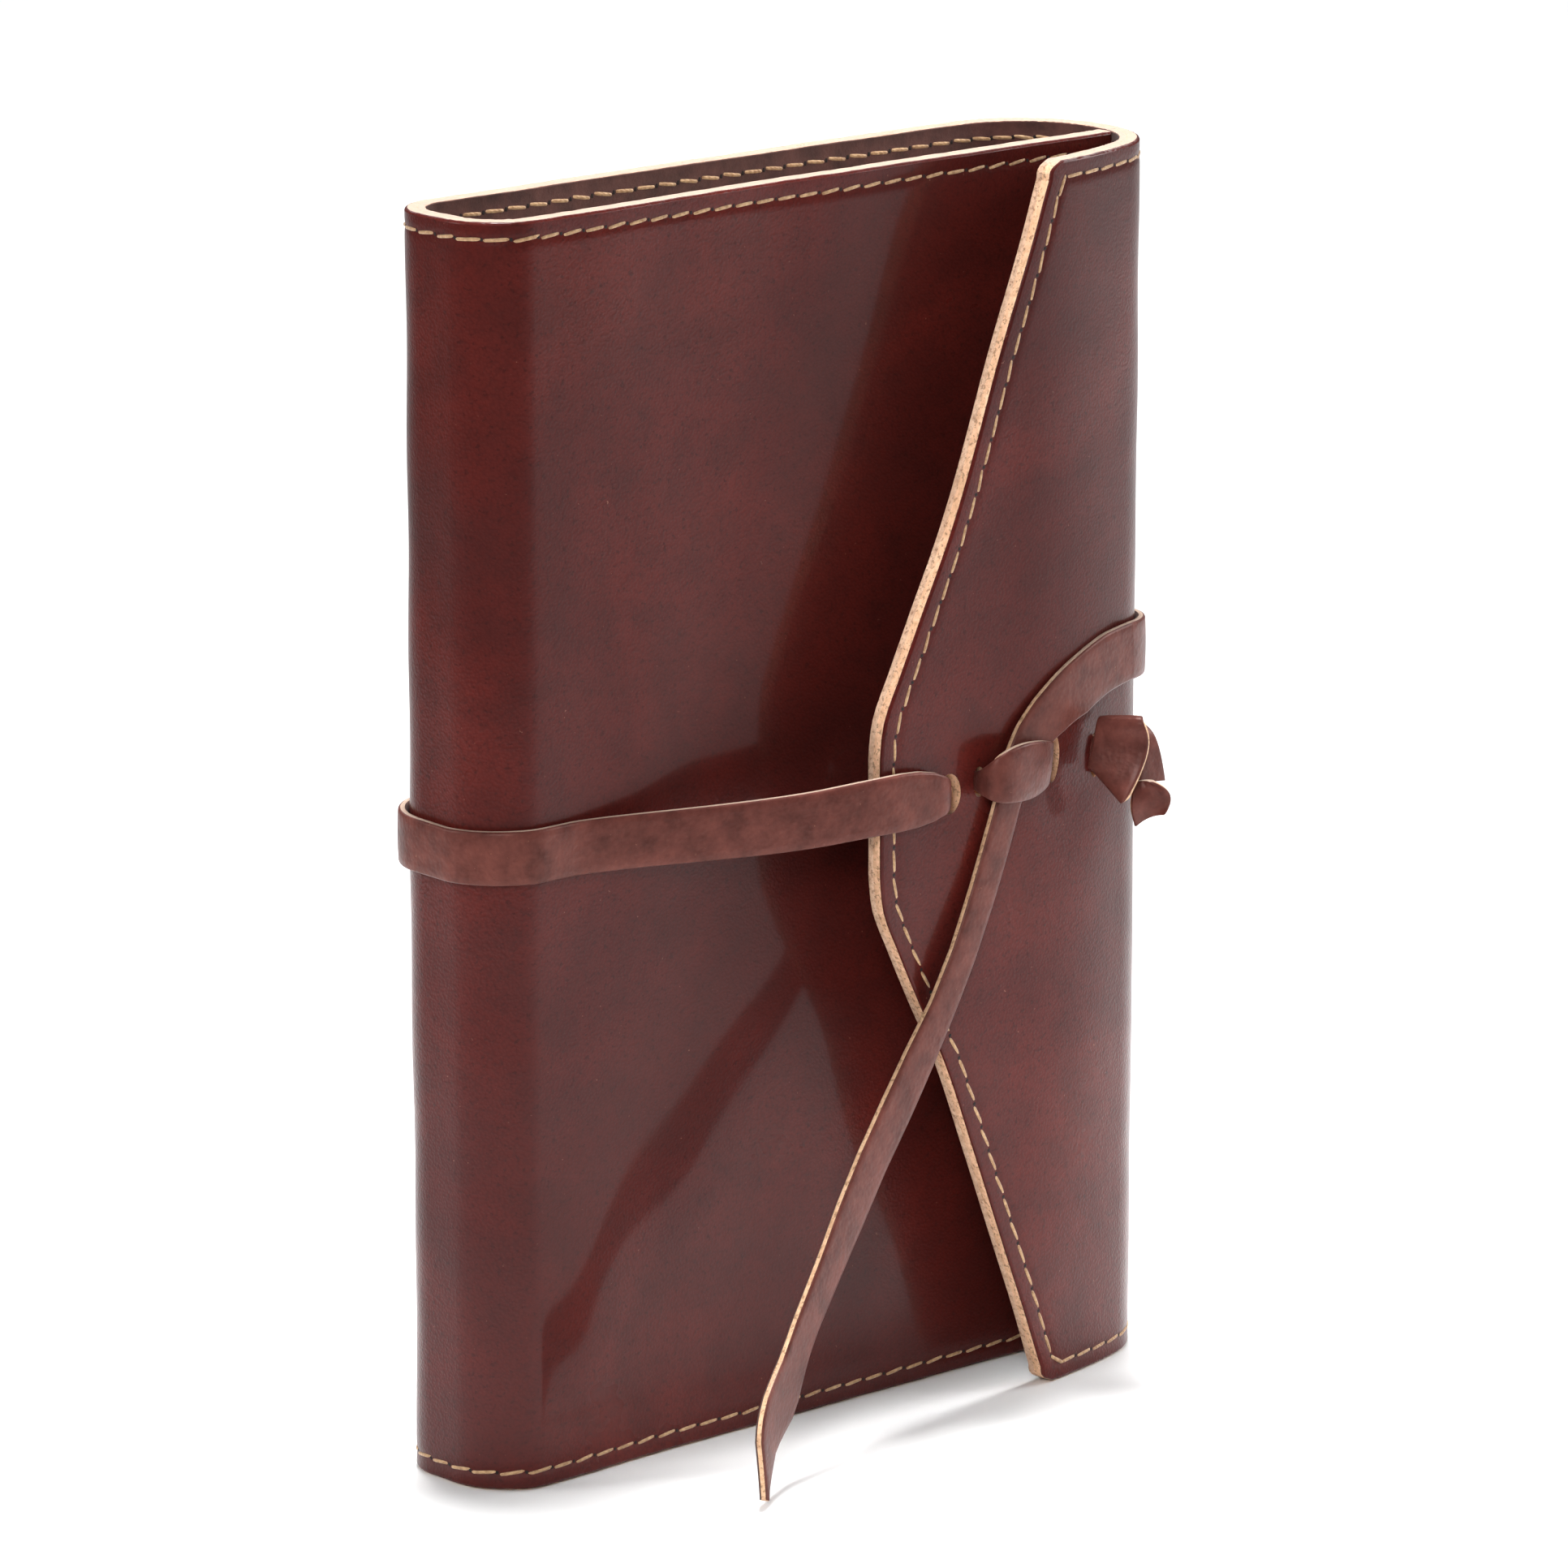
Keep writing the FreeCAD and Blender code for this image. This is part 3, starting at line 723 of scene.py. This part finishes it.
def slot_cutter():
    """Upright ovals that go right through the flap."""
    points, faces = [], []
    for x, z, wide, high in SLOTS:
        near = len(points)
        far = near + SLOT_SIDES
        for y in (FLAP_Y - PLY, FLAP_Y + 3 * PLY):
            for k in range(SLOT_SIDES):
                turn = FULL_TURN * k / SLOT_SIDES
                points.append((x + wide / 2 * math.cos(turn), y, z + high / 2 * math.sin(turn)))
        faces.append(tuple(near + k for k in range(SLOT_SIDES)))
        faces.append(tuple(far + SLOT_SIDES - 1 - k for k in range(SLOT_SIDES)))
        faces += tube_faces(near, far, SLOT_SIDES)
    return make_mesh("slot_cutter", points, faces, [0] * len(faces), [CUT_LEATHER])


def cut_slots(piece):
    """Takes the slots out of a piece of the flap, and gives their walls the cutter's material."""
    cutter = slot_cutter()
    modifier = piece.modifiers.new("slots", "BOOLEAN")
    modifier.object = cutter
    modifier.solver = "EXACT"
    modifier.material_mode = "TRANSFER"
    bpy.context.view_layer.update()
    graph = bpy.context.evaluated_depsgraph_get()
    cut = bpy.data.meshes.new_from_object(piece.evaluated_get(graph))
    cut.set_sharp_from_angle(angle=math.radians(SLOT_SMOOTH_ANGLE))
    piece.modifiers.clear()
    piece.data = cut
    bpy.data.objects.remove(cutter)


# radii of the arrises: outside, where the two plies are glued, and inside
OUTER_ROUND, GLUED_ROUND, INNER_ROUND = 0.5, 0.08, 0.3


def build_section(section):
    """Both plies of one section, with the seam's stitches on both faces."""
    start, end, *_ = SECTIONS[section]
    s, z = section_grid(start, end)
    ends = (start > 0, end < S_TIP)
    outer = slab(f"leather_{section}", s, z, 0.0, LEATHER, (OUTER_ROUND, GLUED_ROUND),
                 (0, 0, 2, 2, 2), [COVER_LEATHER, SUEDE, CUT_LEATHER], *ends)
    inner = slab(f"lining_{section}", s, z, LEATHER, PLY - LEATHER, (GLUED_ROUND, INNER_ROUND),
                 (0, 0, 0, 0, 1), [CUT_LINING, SUEDE], *ends)
    if section == "flap":
        cut_slots(outer)
        cut_slots(inner)
    stand_for(outer, section, "leather")
    stand_for(inner, section, "lining")
    for name, depth, outward in (("seam", 0.0, 1), ("lining_seam", PLY, -1)):
        threads, holes = stitches(f"{name}_{section}", start, end, depth, outward)
        stand_for(threads, section, "stitching")
        bend(holes)


for section in SECTIONS:
    build_section(section)


# ---------------- strap
STRAP_THICK, STRAP_GAP, STRAP_ROUND, STRAP_CROWN = 1.6, 0.3, 0.42, 0.12
STRAP_COLUMNS = 9
# points of a smooth line for each of its control points: along an edge, a run and the tail
EDGE_POINTS, RUN_POINTS, TAIL_POINTS = 8, 10, 16
GOOD_SIDE, FLESH_SIDE, RAW_EDGE = 0, 1, 2


def smooth_line(points, steps):
    """Points along the smooth spline whose control points these are."""
    curve = bpy.data.curves.new("route", "CURVE")
    curve.dimensions = "3D"
    spline = curve.splines.new("NURBS")
    spline.points.add(len(points) - 1)
    for target, point in zip(spline.points, points):
        target.co = (*(c * MM for c in point), 1)
    spline.order_u = 3
    spline.use_endpoint_u = True
    curve.resolution_u = steps
    holder = bpy.data.objects.new("route", curve)
    mesh = bpy.data.meshes.new_from_object(holder)
    line = np.array([v.co for v in mesh.vertices]) / MM
    bpy.data.meshes.remove(mesh)
    bpy.data.curves.remove(curve)
    return line


def directions(line):
    """The line's direction at each of its points, as unit vectors."""
    way = np.gradient(line, axis=0)
    return way / np.linalg.norm(way, axis=1)[:, None]


def strap_profile():
    """A flat lace's cross-section: side (-1 to 1), inset from its edge, height and material number."""
    high, r, arris = STRAP_THICK / 2, STRAP_ROUND, ARRIS * STRAP_ROUND
    face = np.linspace(-1, 1, STRAP_COLUMNS)
    profile = [(-1, 0, high - r, RAW_EDGE), (-1, arris, high - arris, GOOD_SIDE)]
    profile += [(t, r, high + STRAP_CROWN * (1 - t * t), GOOD_SIDE) for t in face]
    profile += [(1, arris, high - arris, GOOD_SIDE), (1, 0, high - r, RAW_EDGE), (1, 0, r - high, RAW_EDGE)]
    profile += [(t, r, -high, FLESH_SIDE) for t in face[::-1]]
    return profile + [(-1, 0, r - high, RAW_EDGE)]


def strap_mesh(name, line, side, left, right, curl=0.0):
    """A flat lace along a line. side points at its left edge, left and right are the distances to both
    edges, and curl raises the edges towards the lace's good side."""
    side = side / np.linalg.norm(side, axis=1)[:, None]
    out = np.cross(side, directions(line))
    out /= np.linalg.norm(out, axis=1)[:, None]
    middle = line + side * ((left - right) / 2)[:, None]
    half = (left + right) / 2
    profile = strap_profile()
    rings = []
    for across, inset, high, _ in profile:
        reach = -across * (half - inset)
        rings.append(middle + side * reach[:, None] + out * (high + curl * across * across))
    points = np.stack(rings, 1).reshape(-1, 3)
    around = len(profile)
    faces = [tuple(range(around)), tuple(range(len(points) - 1, len(points) - around - 1, -1))]
    kinds = [RAW_EDGE, RAW_EDGE]
    ring_kinds = [min(profile[k][3], profile[(k + 1) % around][3]) for k in range(around)]
    for i in range(len(line) - 1):
        faces += tube_faces(i * around, (i + 1) * around, around)
        kinds += ring_kinds
    return make_mesh(name, points, faces, kinds, [STRAP_LEATHER, STRAP_BACK, STRAP_EDGE], smooth_angle=60)


def strap_between(name, left, right, curl=0.0):
    """A flat lace whose two edges run smoothly along these points."""
    left, right = smooth_line(left, EDGE_POINTS), smooth_line(right, EDGE_POINTS)
    side = left - right
    half = np.linalg.norm(side, axis=1) / 2
    return strap_mesh(name, (left + right) / 2, side, half, half, curl)


def wrap_line(s, centre_z):
    """The strap's centre line against the cover, and the way it looks."""
    x, y, heading = plan(s)
    out = swell(s, np.full_like(s, MIDDLE_Z)) + STRAP_GAP + STRAP_THICK / 2
    normal = np.stack([-np.sin(heading), np.cos(heading), np.zeros_like(s)], -1)
    return np.stack([x, y, centre_z], -1) + normal * out[:, None], normal


# the wrap's s, the height of its centre line and its width
WRAP = [(S_FRONT_CORNER - 40, 111.6, 9.6), (S_FRONT_CORNER, 111.9, 9.2), (S_SPINE, 111.7, 9.3),
        (S_BACK, 112.4, 9.6), (S_FORE, 124.6, 10.0), (S_MID_FORE, 127.6, 10.2), (S_FLAP, 129.6, 10.4)]


def wrap_value(s, column):
    """One column of WRAP at each s."""
    return np.interp(s, [row[0] for row in WRAP], [row[column] for row in WRAP])


def stand_for_strap(piece, section, *nodes):
    """Bakes a length of lace's transform into its mesh, and hides the CAD nodes it stands for; section is
    not used.
    """
    bend(piece)
    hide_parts(*nodes)


def upright_side(line):
    """The way to the lace's upper edge where the lace stands on edge."""
    way = directions(line)
    out = np.stack([-way[:, 1], way[:, 0], np.zeros(len(line))], -1)
    return np.cross(way, out)


# s where the lace leaves the front cover for the flap, and y of its middle over the flap
LEAVES_COVER = S_FRONT_CORNER - 6.0
OVER_Y = FLAP_Y - STRAP_THICK / 2 - 0.5
FRONT_RUN = [(14.6, FLAP_Y + 2.4, 112.0), (14.4, OVER_Y - 0.4, 112.3), (8.0, OVER_Y - 0.3, 112.8),
             (FLAP_TIP_X - 3, OVER_Y, 112.9), (-20.0, -18.6, 111.6)]
# the lace is pinched in slot 1: distance along it, and half its width
FRONT_RUN_HALF = [(0, 2.4), (3.5, 2.6), (5.0, 3.4), (7.5, 4.3), (11, 4.9), (15, 5.1), (60, 4.7)]
FRONT_RUN_LAST_HALF = 4.65


def build_front_run():
    """From inside slot 1 over the flap's tip and across the front cover to the middle of the spine."""
    before = np.linspace(LEAVES_COVER, S_FRONT_CORNER, 5)[:-1]
    s = np.concatenate([before, along(S_FRONT_CORNER, S_MID_SPINE)])
    wrap, _ = wrap_line(s, wrap_value(s, 1))
    lead = wrap[0] + (wrap[0] - wrap[2]) * 1.5
    head = smooth_line(FRONT_RUN + [tuple(lead), tuple(wrap[0])], RUN_POINTS)
    line = np.concatenate([head[:-1], wrap])
    far = distances(line)
    known_far, known_half = zip(*FRONT_RUN_HALF, (far[-1], FRONT_RUN_LAST_HALF))
    half = np.interp(far, known_far, known_half)
    piece = strap_mesh("strap_front", line, upright_side(line), half, half)
    stand_for_strap(piece, "front", "strap_front_run", "strap_spine_run")


def build_wrap_run(section, first, last, nodes):
    """The lace where it lies flat on one section of the cover."""
    s = along(first, last)
    line, normal = wrap_line(s, wrap_value(s, 1))
    half = wrap_value(s, 2) / 2
    piece = strap_mesh(f"strap_{section}", line, np.cross(directions(line), normal), half, half)
    stand_for_strap(piece, section, *nodes)


# the tail's route: the CAD source's points, with the last two moved a little
TAIL_ROUTE = [(61.9, -18.1, 128.0), (45.0, -22.25, 127.5), (31.4, -22.95, 117.0), (22.0, -23.6, 97.0),
              (1.9, -25.0, 63.4), (-17.7, -28.3, 38.4), (-35.7, -33.5, 18.6), (-43.2, -38.8, 0.6)]
# distance along the route, and how far the left and the right edge are from it
TAIL_EDGES = [(0, 6.9, 3.4), (8, 6.9, 3.8), (16, 6.0, 5.0), (24, 5.3, 4.4), (31, 5.4, 2.9), (38, 4.6, 2.8),
              (42, 3.4, 2.9), (50, 2.9, 3.6), (60, 2.0, 4.4), (70, 1.3, 5.0), (80, 1.4, 5.1), (90, 2.7, 5.0),
              (100, 3.5, 4.7), (110, 4.0, 4.2), (120, 3.8, 4.5), (130, 3.0, 4.6), (140, 2.6, 4.8),
              (146, 2.8, 5.4), (150, 3.5, 6.0), (154, 5.2, 6.6), (158, 7.2, 6.0), (162, 8.3, 3.0),
              (165, 8.2, 0.8), (169, 4.8, 0.2), (174, 0.7, 0.0)]


def build_tail():
    """The free end: over the flap, under the keeper and down to a slanting cut at the floor."""
    line = smooth_line(TAIL_ROUTE, TAIL_POINTS)
    known_far, known_left, known_right = zip(*TAIL_EDGES)
    far = distances(line)
    left, right = np.interp(far, known_far, known_left), np.interp(far, known_far, known_right)
    piece = strap_mesh("strap_tail_lace", line, upright_side(line), left, right)
    stand_for_strap(piece, "flap", "strap_tail")


def build_keeper():
    """Out of slot 2, over the tail, in at slot 3 and on behind the flap to slot 4."""
    top = [(15.2, -17.6, 114.6), (21.9, -17.6, 114.6), (22.4, -21.0, 114.6), (21.3, -24.2, 116.0),
           (22.2, -26.4, 118.5), (26.8, -26.6, 119.8), (32.6, -25.4, 119.4), (38.4, -23.0, 117.9),
           (39.4, -20.0, 117.4), (40.2, -17.0, 116.8), (52.2, -15.6, 116.0), (52.6, -20.0, 116.0)]
    bottom = [(15.2, -17.6, 111.4), (21.9, -17.6, 111.4), (22.2, -21.0, 111.6), (21.0, -24.2, 111.2),
              (21.8, -26.6, 110.1), (25.8, -26.8, 109.6), (31.6, -25.0, 109.1), (37.2, -23.0, 110.2),
              (39.2, -20.0, 110.9), (40.2, -17.0, 111.2), (52.2, -15.6, 109.4), (52.6, -20.0, 109.4)]
    piece = strap_between("strap_keeper_lace", bottom, top)
    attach(piece, "flap")
    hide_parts("strap_keeper")


# the knot's bands: the points along each one's left and right edge, and how much its edges curl up
KNOT_BANDS = {
    "strap_knot_front": (
        [(51.6, -22.8, 116.0), (50.8, -22.8, 119.4), (49.4, -22.9, 120.2), (48.6, -23.0, 116.4),
         (46.8, -23.0, 111.2), (49.0, -22.8, 111.8), (51.6, -22.8, 113.5)],
        [(56.2, -27.0, 115.6), (55.0, -28.6, 119.8), (52.8, -31.0, 121.0), (54.4, -31.4, 116.5),
         (52.2, -31.0, 110.8), (47.6, -31.0, 105.2), (50.6, -27.6, 108.0)], 0.0),
    "strap_knot_back": (
        [(52.0, -22.8, 118.5), (55.0, -25.4, 118.4), (55.6, -26.4, 113.0), (55.6, -26.4, 108.4)],
        [(57.5, -22.4, 118.5), (59.8, -25.0, 117.6), (61.6, -26.0, 113.0), (62.6, -26.0, 107.6)], 0.1),
    "strap_knot_end": (
        [(55.4, -27.0, 108.9), (53.2, -27.4, 106.6), (53.0, -27.4, 104.0), (54.6, -27.0, 101.5)],
        [(56.4, -31.0, 109.4), (58.6, -31.4, 107.8), (59.2, -31.4, 105.6), (58.4, -31.0, 103.9)], 1.2),
}


def build_knot():
    """A folded band in front, a band behind it and the cut end curling out below."""
    for name, (left, right, curl) in KNOT_BANDS.items():
        piece = strap_between(name, left, right, curl=curl)
        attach(piece, "flap")
        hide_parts("strap_knot")


build_front_run()
build_wrap_run("spine", S_MID_SPINE, S_MID_BACK, ("strap_spine_run", "strap_back_run"))
build_wrap_run("back", S_MID_BACK, S_MID_FORE, ("strap_back_run", "strap_fore_edge_run"))
build_wrap_run("flap", S_MID_FORE, S_FLAP, ("strap_fore_edge_run",))
build_tail()
build_keeper()
build_knot()


# ---------------- refill notebook and its sleeves
PANEL_SOFT, PANEL_CORNER_STEPS = 0.25, 6


def panel(name, low, high, materials, radius):
    """A thin upright panel with rounded corners in x and z and softened arrises."""
    left, right = low[0] + radius, high[0] - radius
    bottom, top = low[2] + radius, high[2] - radius
    outline = []
    for cx, cz, start in ((right, bottom, -90), (right, top, 0), (left, top, 90), (left, bottom, 180)):
        for k in range(PANEL_CORNER_STEPS + 1):
            turn = math.radians(start + 90 * k / PANEL_CORNER_STEPS)
            outline.append((cx + radius * math.cos(turn), cz + radius * math.sin(turn)))
    middle = ((low[0] + high[0]) / 2, (low[2] + high[2]) / 2)
    rings = []
    soft = min(PANEL_SOFT, (high[1] - low[1]) / 3)
    for y, inset in ((low[1], soft), (low[1] + soft, 0), (high[1] - soft, 0), (high[1], soft)):
        rings.append([(x - math.copysign(inset, x - middle[0]), y, z - math.copysign(inset, z - middle[1]))
                      for x, z in outline])
    around = len(outline)
    faces = [tuple(range(around)), tuple(len(rings) * around - 1 - k for k in range(around))]
    for i in range(len(rings) - 1):
        faces += tube_faces(i * around, (i + 1) * around, around)
    kinds = [0, 0] + [1] * (len(faces) - 2)
    return make_mesh(name, [p for ring in rings for p in ring], faces, kinds, materials, smooth_angle=30)


SIGNATURES, LEAVES, FOLD_STEPS = 6, 5, 12
# a signature's leaves: the innermost one's place, and the shares that the stack and each sheet fill
INNERMOST, STACK_SHARE, SHEET_SHARE = 0.75, 0.97, 0.62
# how much further each outer leaf reaches, and how ragged the edges are
LEAF_STEP, RAGGED = 0.12, 0.25


def leaf_face(fold_x, right, centre, half):
    """One face of a folded leaf seen from above, round the fold from one free edge to the other."""
    turns = [math.radians(90 + 180 * k / FOLD_STEPS) for k in range(FOLD_STEPS + 1)]
    fold = [(fold_x + half * math.cos(turn), centre + half * math.sin(turn)) for turn in turns]
    return [(right, centre + half)] + fold + [(right, centre - half)]


def folded_leaves(name, node_name):
    """The refill's signatures: each is a few leaves folded together, so the edges show as thin layers."""
    low, high = node_box(node_name)
    pitch = (high[1] - low[1]) / SIGNATURES
    fold_x = low[0] + pitch / 2
    sheet = pitch / 2 / LEAVES * SHEET_SHARE
    points, faces = [], []
    for signature in range(SIGNATURES):
        centre = low[1] + (signature + 0.5) * pitch
        for leaf in range(LEAVES):
            half = pitch / 2 * (leaf + INNERMOST) / LEAVES * STACK_SHARE
            right = high[0] - LEAF_STEP * (LEAVES - leaf) - rng.uniform(0, RAGGED)
            top = high[2] - rng.uniform(0, RAGGED)
            outer = leaf_face(fold_x, right, centre, half)
            ring = outer + leaf_face(fold_x, right, centre, half - sheet)[::-1]
            around = len(ring)
            first = len(points)
            points += [(x, y, low[2]) for x, y in ring] + [(x, y, top) for x, y in ring]
            for k in range(len(outer) - 1):
                strip = k, k + 1, around - 2 - k, around - 1 - k
                faces.append(tuple(first + i for i in strip))
                faces.append(tuple(first + around + i for i in strip[::-1]))
            faces += tube_faces(first, first + around, around)
    return make_mesh(name, points, faces, [0] * len(faces), [PAPER], smooth_angle=25)


# the sleeves' stitches: how deep they lie, their slant, and their length and radius next to the cover's
SLEEVE_SUNK, SLEEVE_SLANT = 0.15, 0.15
SLEEVE_LENGTH_SHARE, SLEEVE_RADIUS_SHARE = 0.8, 0.7


def panel_seam(name, node_name, look):
    """Stitches along three sides of a sleeve, following its stitching in the frame."""
    low, high = node_box(node_name)
    y = low[1] if look < 0 else high[1]
    corners = [(low[0], low[2]), (high[0], low[2]), (high[0], high[2]), (low[0], high[2])]
    places = []
    for (x0, z0), (x1, z1) in zip(corners, corners[1:]):
        length = math.hypot(x1 - x0, z1 - z0)
        for k in range(int(length / STITCH_PITCH)):
            t = (k + 0.5) * STITCH_PITCH / length
            origin = np.array([x0 + (x1 - x0) * t, y - look * SLEEVE_SUNK, z0 + (z1 - z0) * t])
            turn = math.atan2(z1 - z0, x1 - x0) + SLEEVE_SLANT
            x_axis = np.array([math.cos(turn), 0, math.sin(turn)])
            up = np.array([0, look, 0.0])
            places.append((origin, np.stack([x_axis, np.cross(up, x_axis), up])))
    stitch = capsule(STITCH_LENGTH * SLEEVE_LENGTH_SHARE, THREAD_RADIUS * SLEEVE_RADIUS_SHARE)
    return place_copies(name, stitch, places, THREAD)


# name: the CAD node it stands for, its body, materials, a slot name that nothing reads, and corner radius
PANELS = {
    "sleeve_back": ("back_sleeve", "back_cover", [SUEDE, CUT_LINING], "sleeve_suede", 3.0),
    "sleeve_front": ("front_sleeve", "front_cover", [SUEDE, CUT_LINING], "sleeve_suede", 3.0),
    "card_back": ("refill_back_card", "back_cover", [CARD, CARD], "card", 5.0),
    "card_front": ("refill_front_card", "front_cover", [CARD, CARD], "card", 5.0),
    "spine_cloth": ("refill_spine_cloth", "back_cover", [CLOTH, CLOTH], "cloth", 0.2),
}


def build_refill():
    for name, (node_name, body, materials, slot_name, radius) in PANELS.items():
        piece = panel(name, *node_box(node_name), materials, radius)
        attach(piece, body)
        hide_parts(node_name)
    pages = folded_leaves("pages", "refill_signatures")
    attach(pages, "back_cover")
    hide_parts("refill_signatures")
    for name, node_name, body, look in (("sleeve_back_seam", "back_sleeve_stitching", "back_cover", -1),
                                        ("sleeve_front_seam", "front_sleeve_stitching", "front_cover", 1)):
        seam = panel_seam(name, node_name, look)
        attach(seam, body)
        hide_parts(node_name)


build_refill()


# ---------------- floor, light and camera
# the floor's half side and how far it is under the object, in metres
FLOOR_HALF, FLOOR_DROP = 6.0, 0.0003
FLOOR_SHADE = 0.93
WORLD_LIGHT = 0.11
# name: place, the point it faces, size, power in watts and spread in degrees
LIGHTS = {
    "overhead": ((0.12, 0.18, 2.5), (0.04, 0.06, 0.0), (0.36, 0.36), 3.25, 32),
    "behind": ((0.9, 1.0, 1.0), (0.85, 0.95, 0.0), (1.6, 0.8), 18.0, 180),
    "left": ((-1.0, 0.6, 0.7), (-0.08, 0.05, 0.12), (0.8, 0.8), 1.2, 60),
    "right": ((1.4, -0.7, 0.8), (0.82, -0.58, 0.0), (0.9, 0.7), 11.0, 100),
    "key": ((-0.82, -0.72, 0.8), (-0.01, 0.0, 0.25), (0.6, 0.6), 0.64, 24),
}
# the camera's lens, the point it faces in millimetres, and where it stands from there
SENSOR_WIDTH, LENS = 36.0, 201.1
CAMERA_TARGET = Vector((3.64, 8.35, 110.2)) * MM
CAMERA_AZIMUTH, CAMERA_ELEVATION = math.radians(-42.0), math.radians(13.657)
CAMERA_DISTANCE = 1531.3 * MM


def build_stage():
    floor_material, _, _ = new_material("floor", (FLOOR_SHADE,) * 3, 0.9)
    mesh = bpy.data.meshes.new("floor")
    corners = ((-1, -1), (1, -1), (1, 1), (-1, 1))
    mesh.from_pydata([(x * FLOOR_HALF, y * FLOOR_HALF, -FLOOR_DROP) for x, y in corners], [], [(0, 1, 2, 3)])
    mesh.materials.append(floor_material)
    floor = bpy.data.objects.new("floor", mesh)
    bpy.context.scene.collection.objects.link(floor)


def area_light(name, place, target, size, power, spread):
    data = bpy.data.lights.new(name, "AREA")
    data.shape = "RECTANGLE"
    data.size, data.size_y = size
    data.energy = power
    data.spread = math.radians(spread)
    light = bpy.data.objects.new(name, data)
    light.location = place
    light.rotation_euler = (Vector(target) - Vector(place)).to_track_quat("-Z", "Y").to_euler()
    bpy.context.scene.collection.objects.link(light)


def build_light():
    world = bpy.data.worlds.new("studio")
    world.use_nodes = True
    world.node_tree.nodes["Background"].inputs["Color"].default_value = (1, 1, 1, 1)
    world.node_tree.nodes["Background"].inputs["Strength"].default_value = WORLD_LIGHT
    bpy.context.scene.world = world
    for name, settings in LIGHTS.items():
        area_light(name, *settings)


def build_camera():
    data = bpy.data.cameras.new("camera")
    data.sensor_width = SENSOR_WIDTH
    data.lens = LENS
    camera = bpy.data.objects.new("camera", data)
    level = math.cos(CAMERA_ELEVATION)
    back = Vector((math.sin(CAMERA_AZIMUTH) * level, -math.cos(CAMERA_AZIMUTH) * level,
                   math.sin(CAMERA_ELEVATION)))
    camera.location = CAMERA_TARGET + back * CAMERA_DISTANCE
    camera.rotation_euler = (-back).to_track_quat("-Z", "Y").to_euler()
    bpy.context.scene.collection.objects.link(camera)
    bpy.context.scene.camera = camera


build_stage()
build_light()
build_camera()
bpy.context.scene.view_settings.view_transform = "Standard"
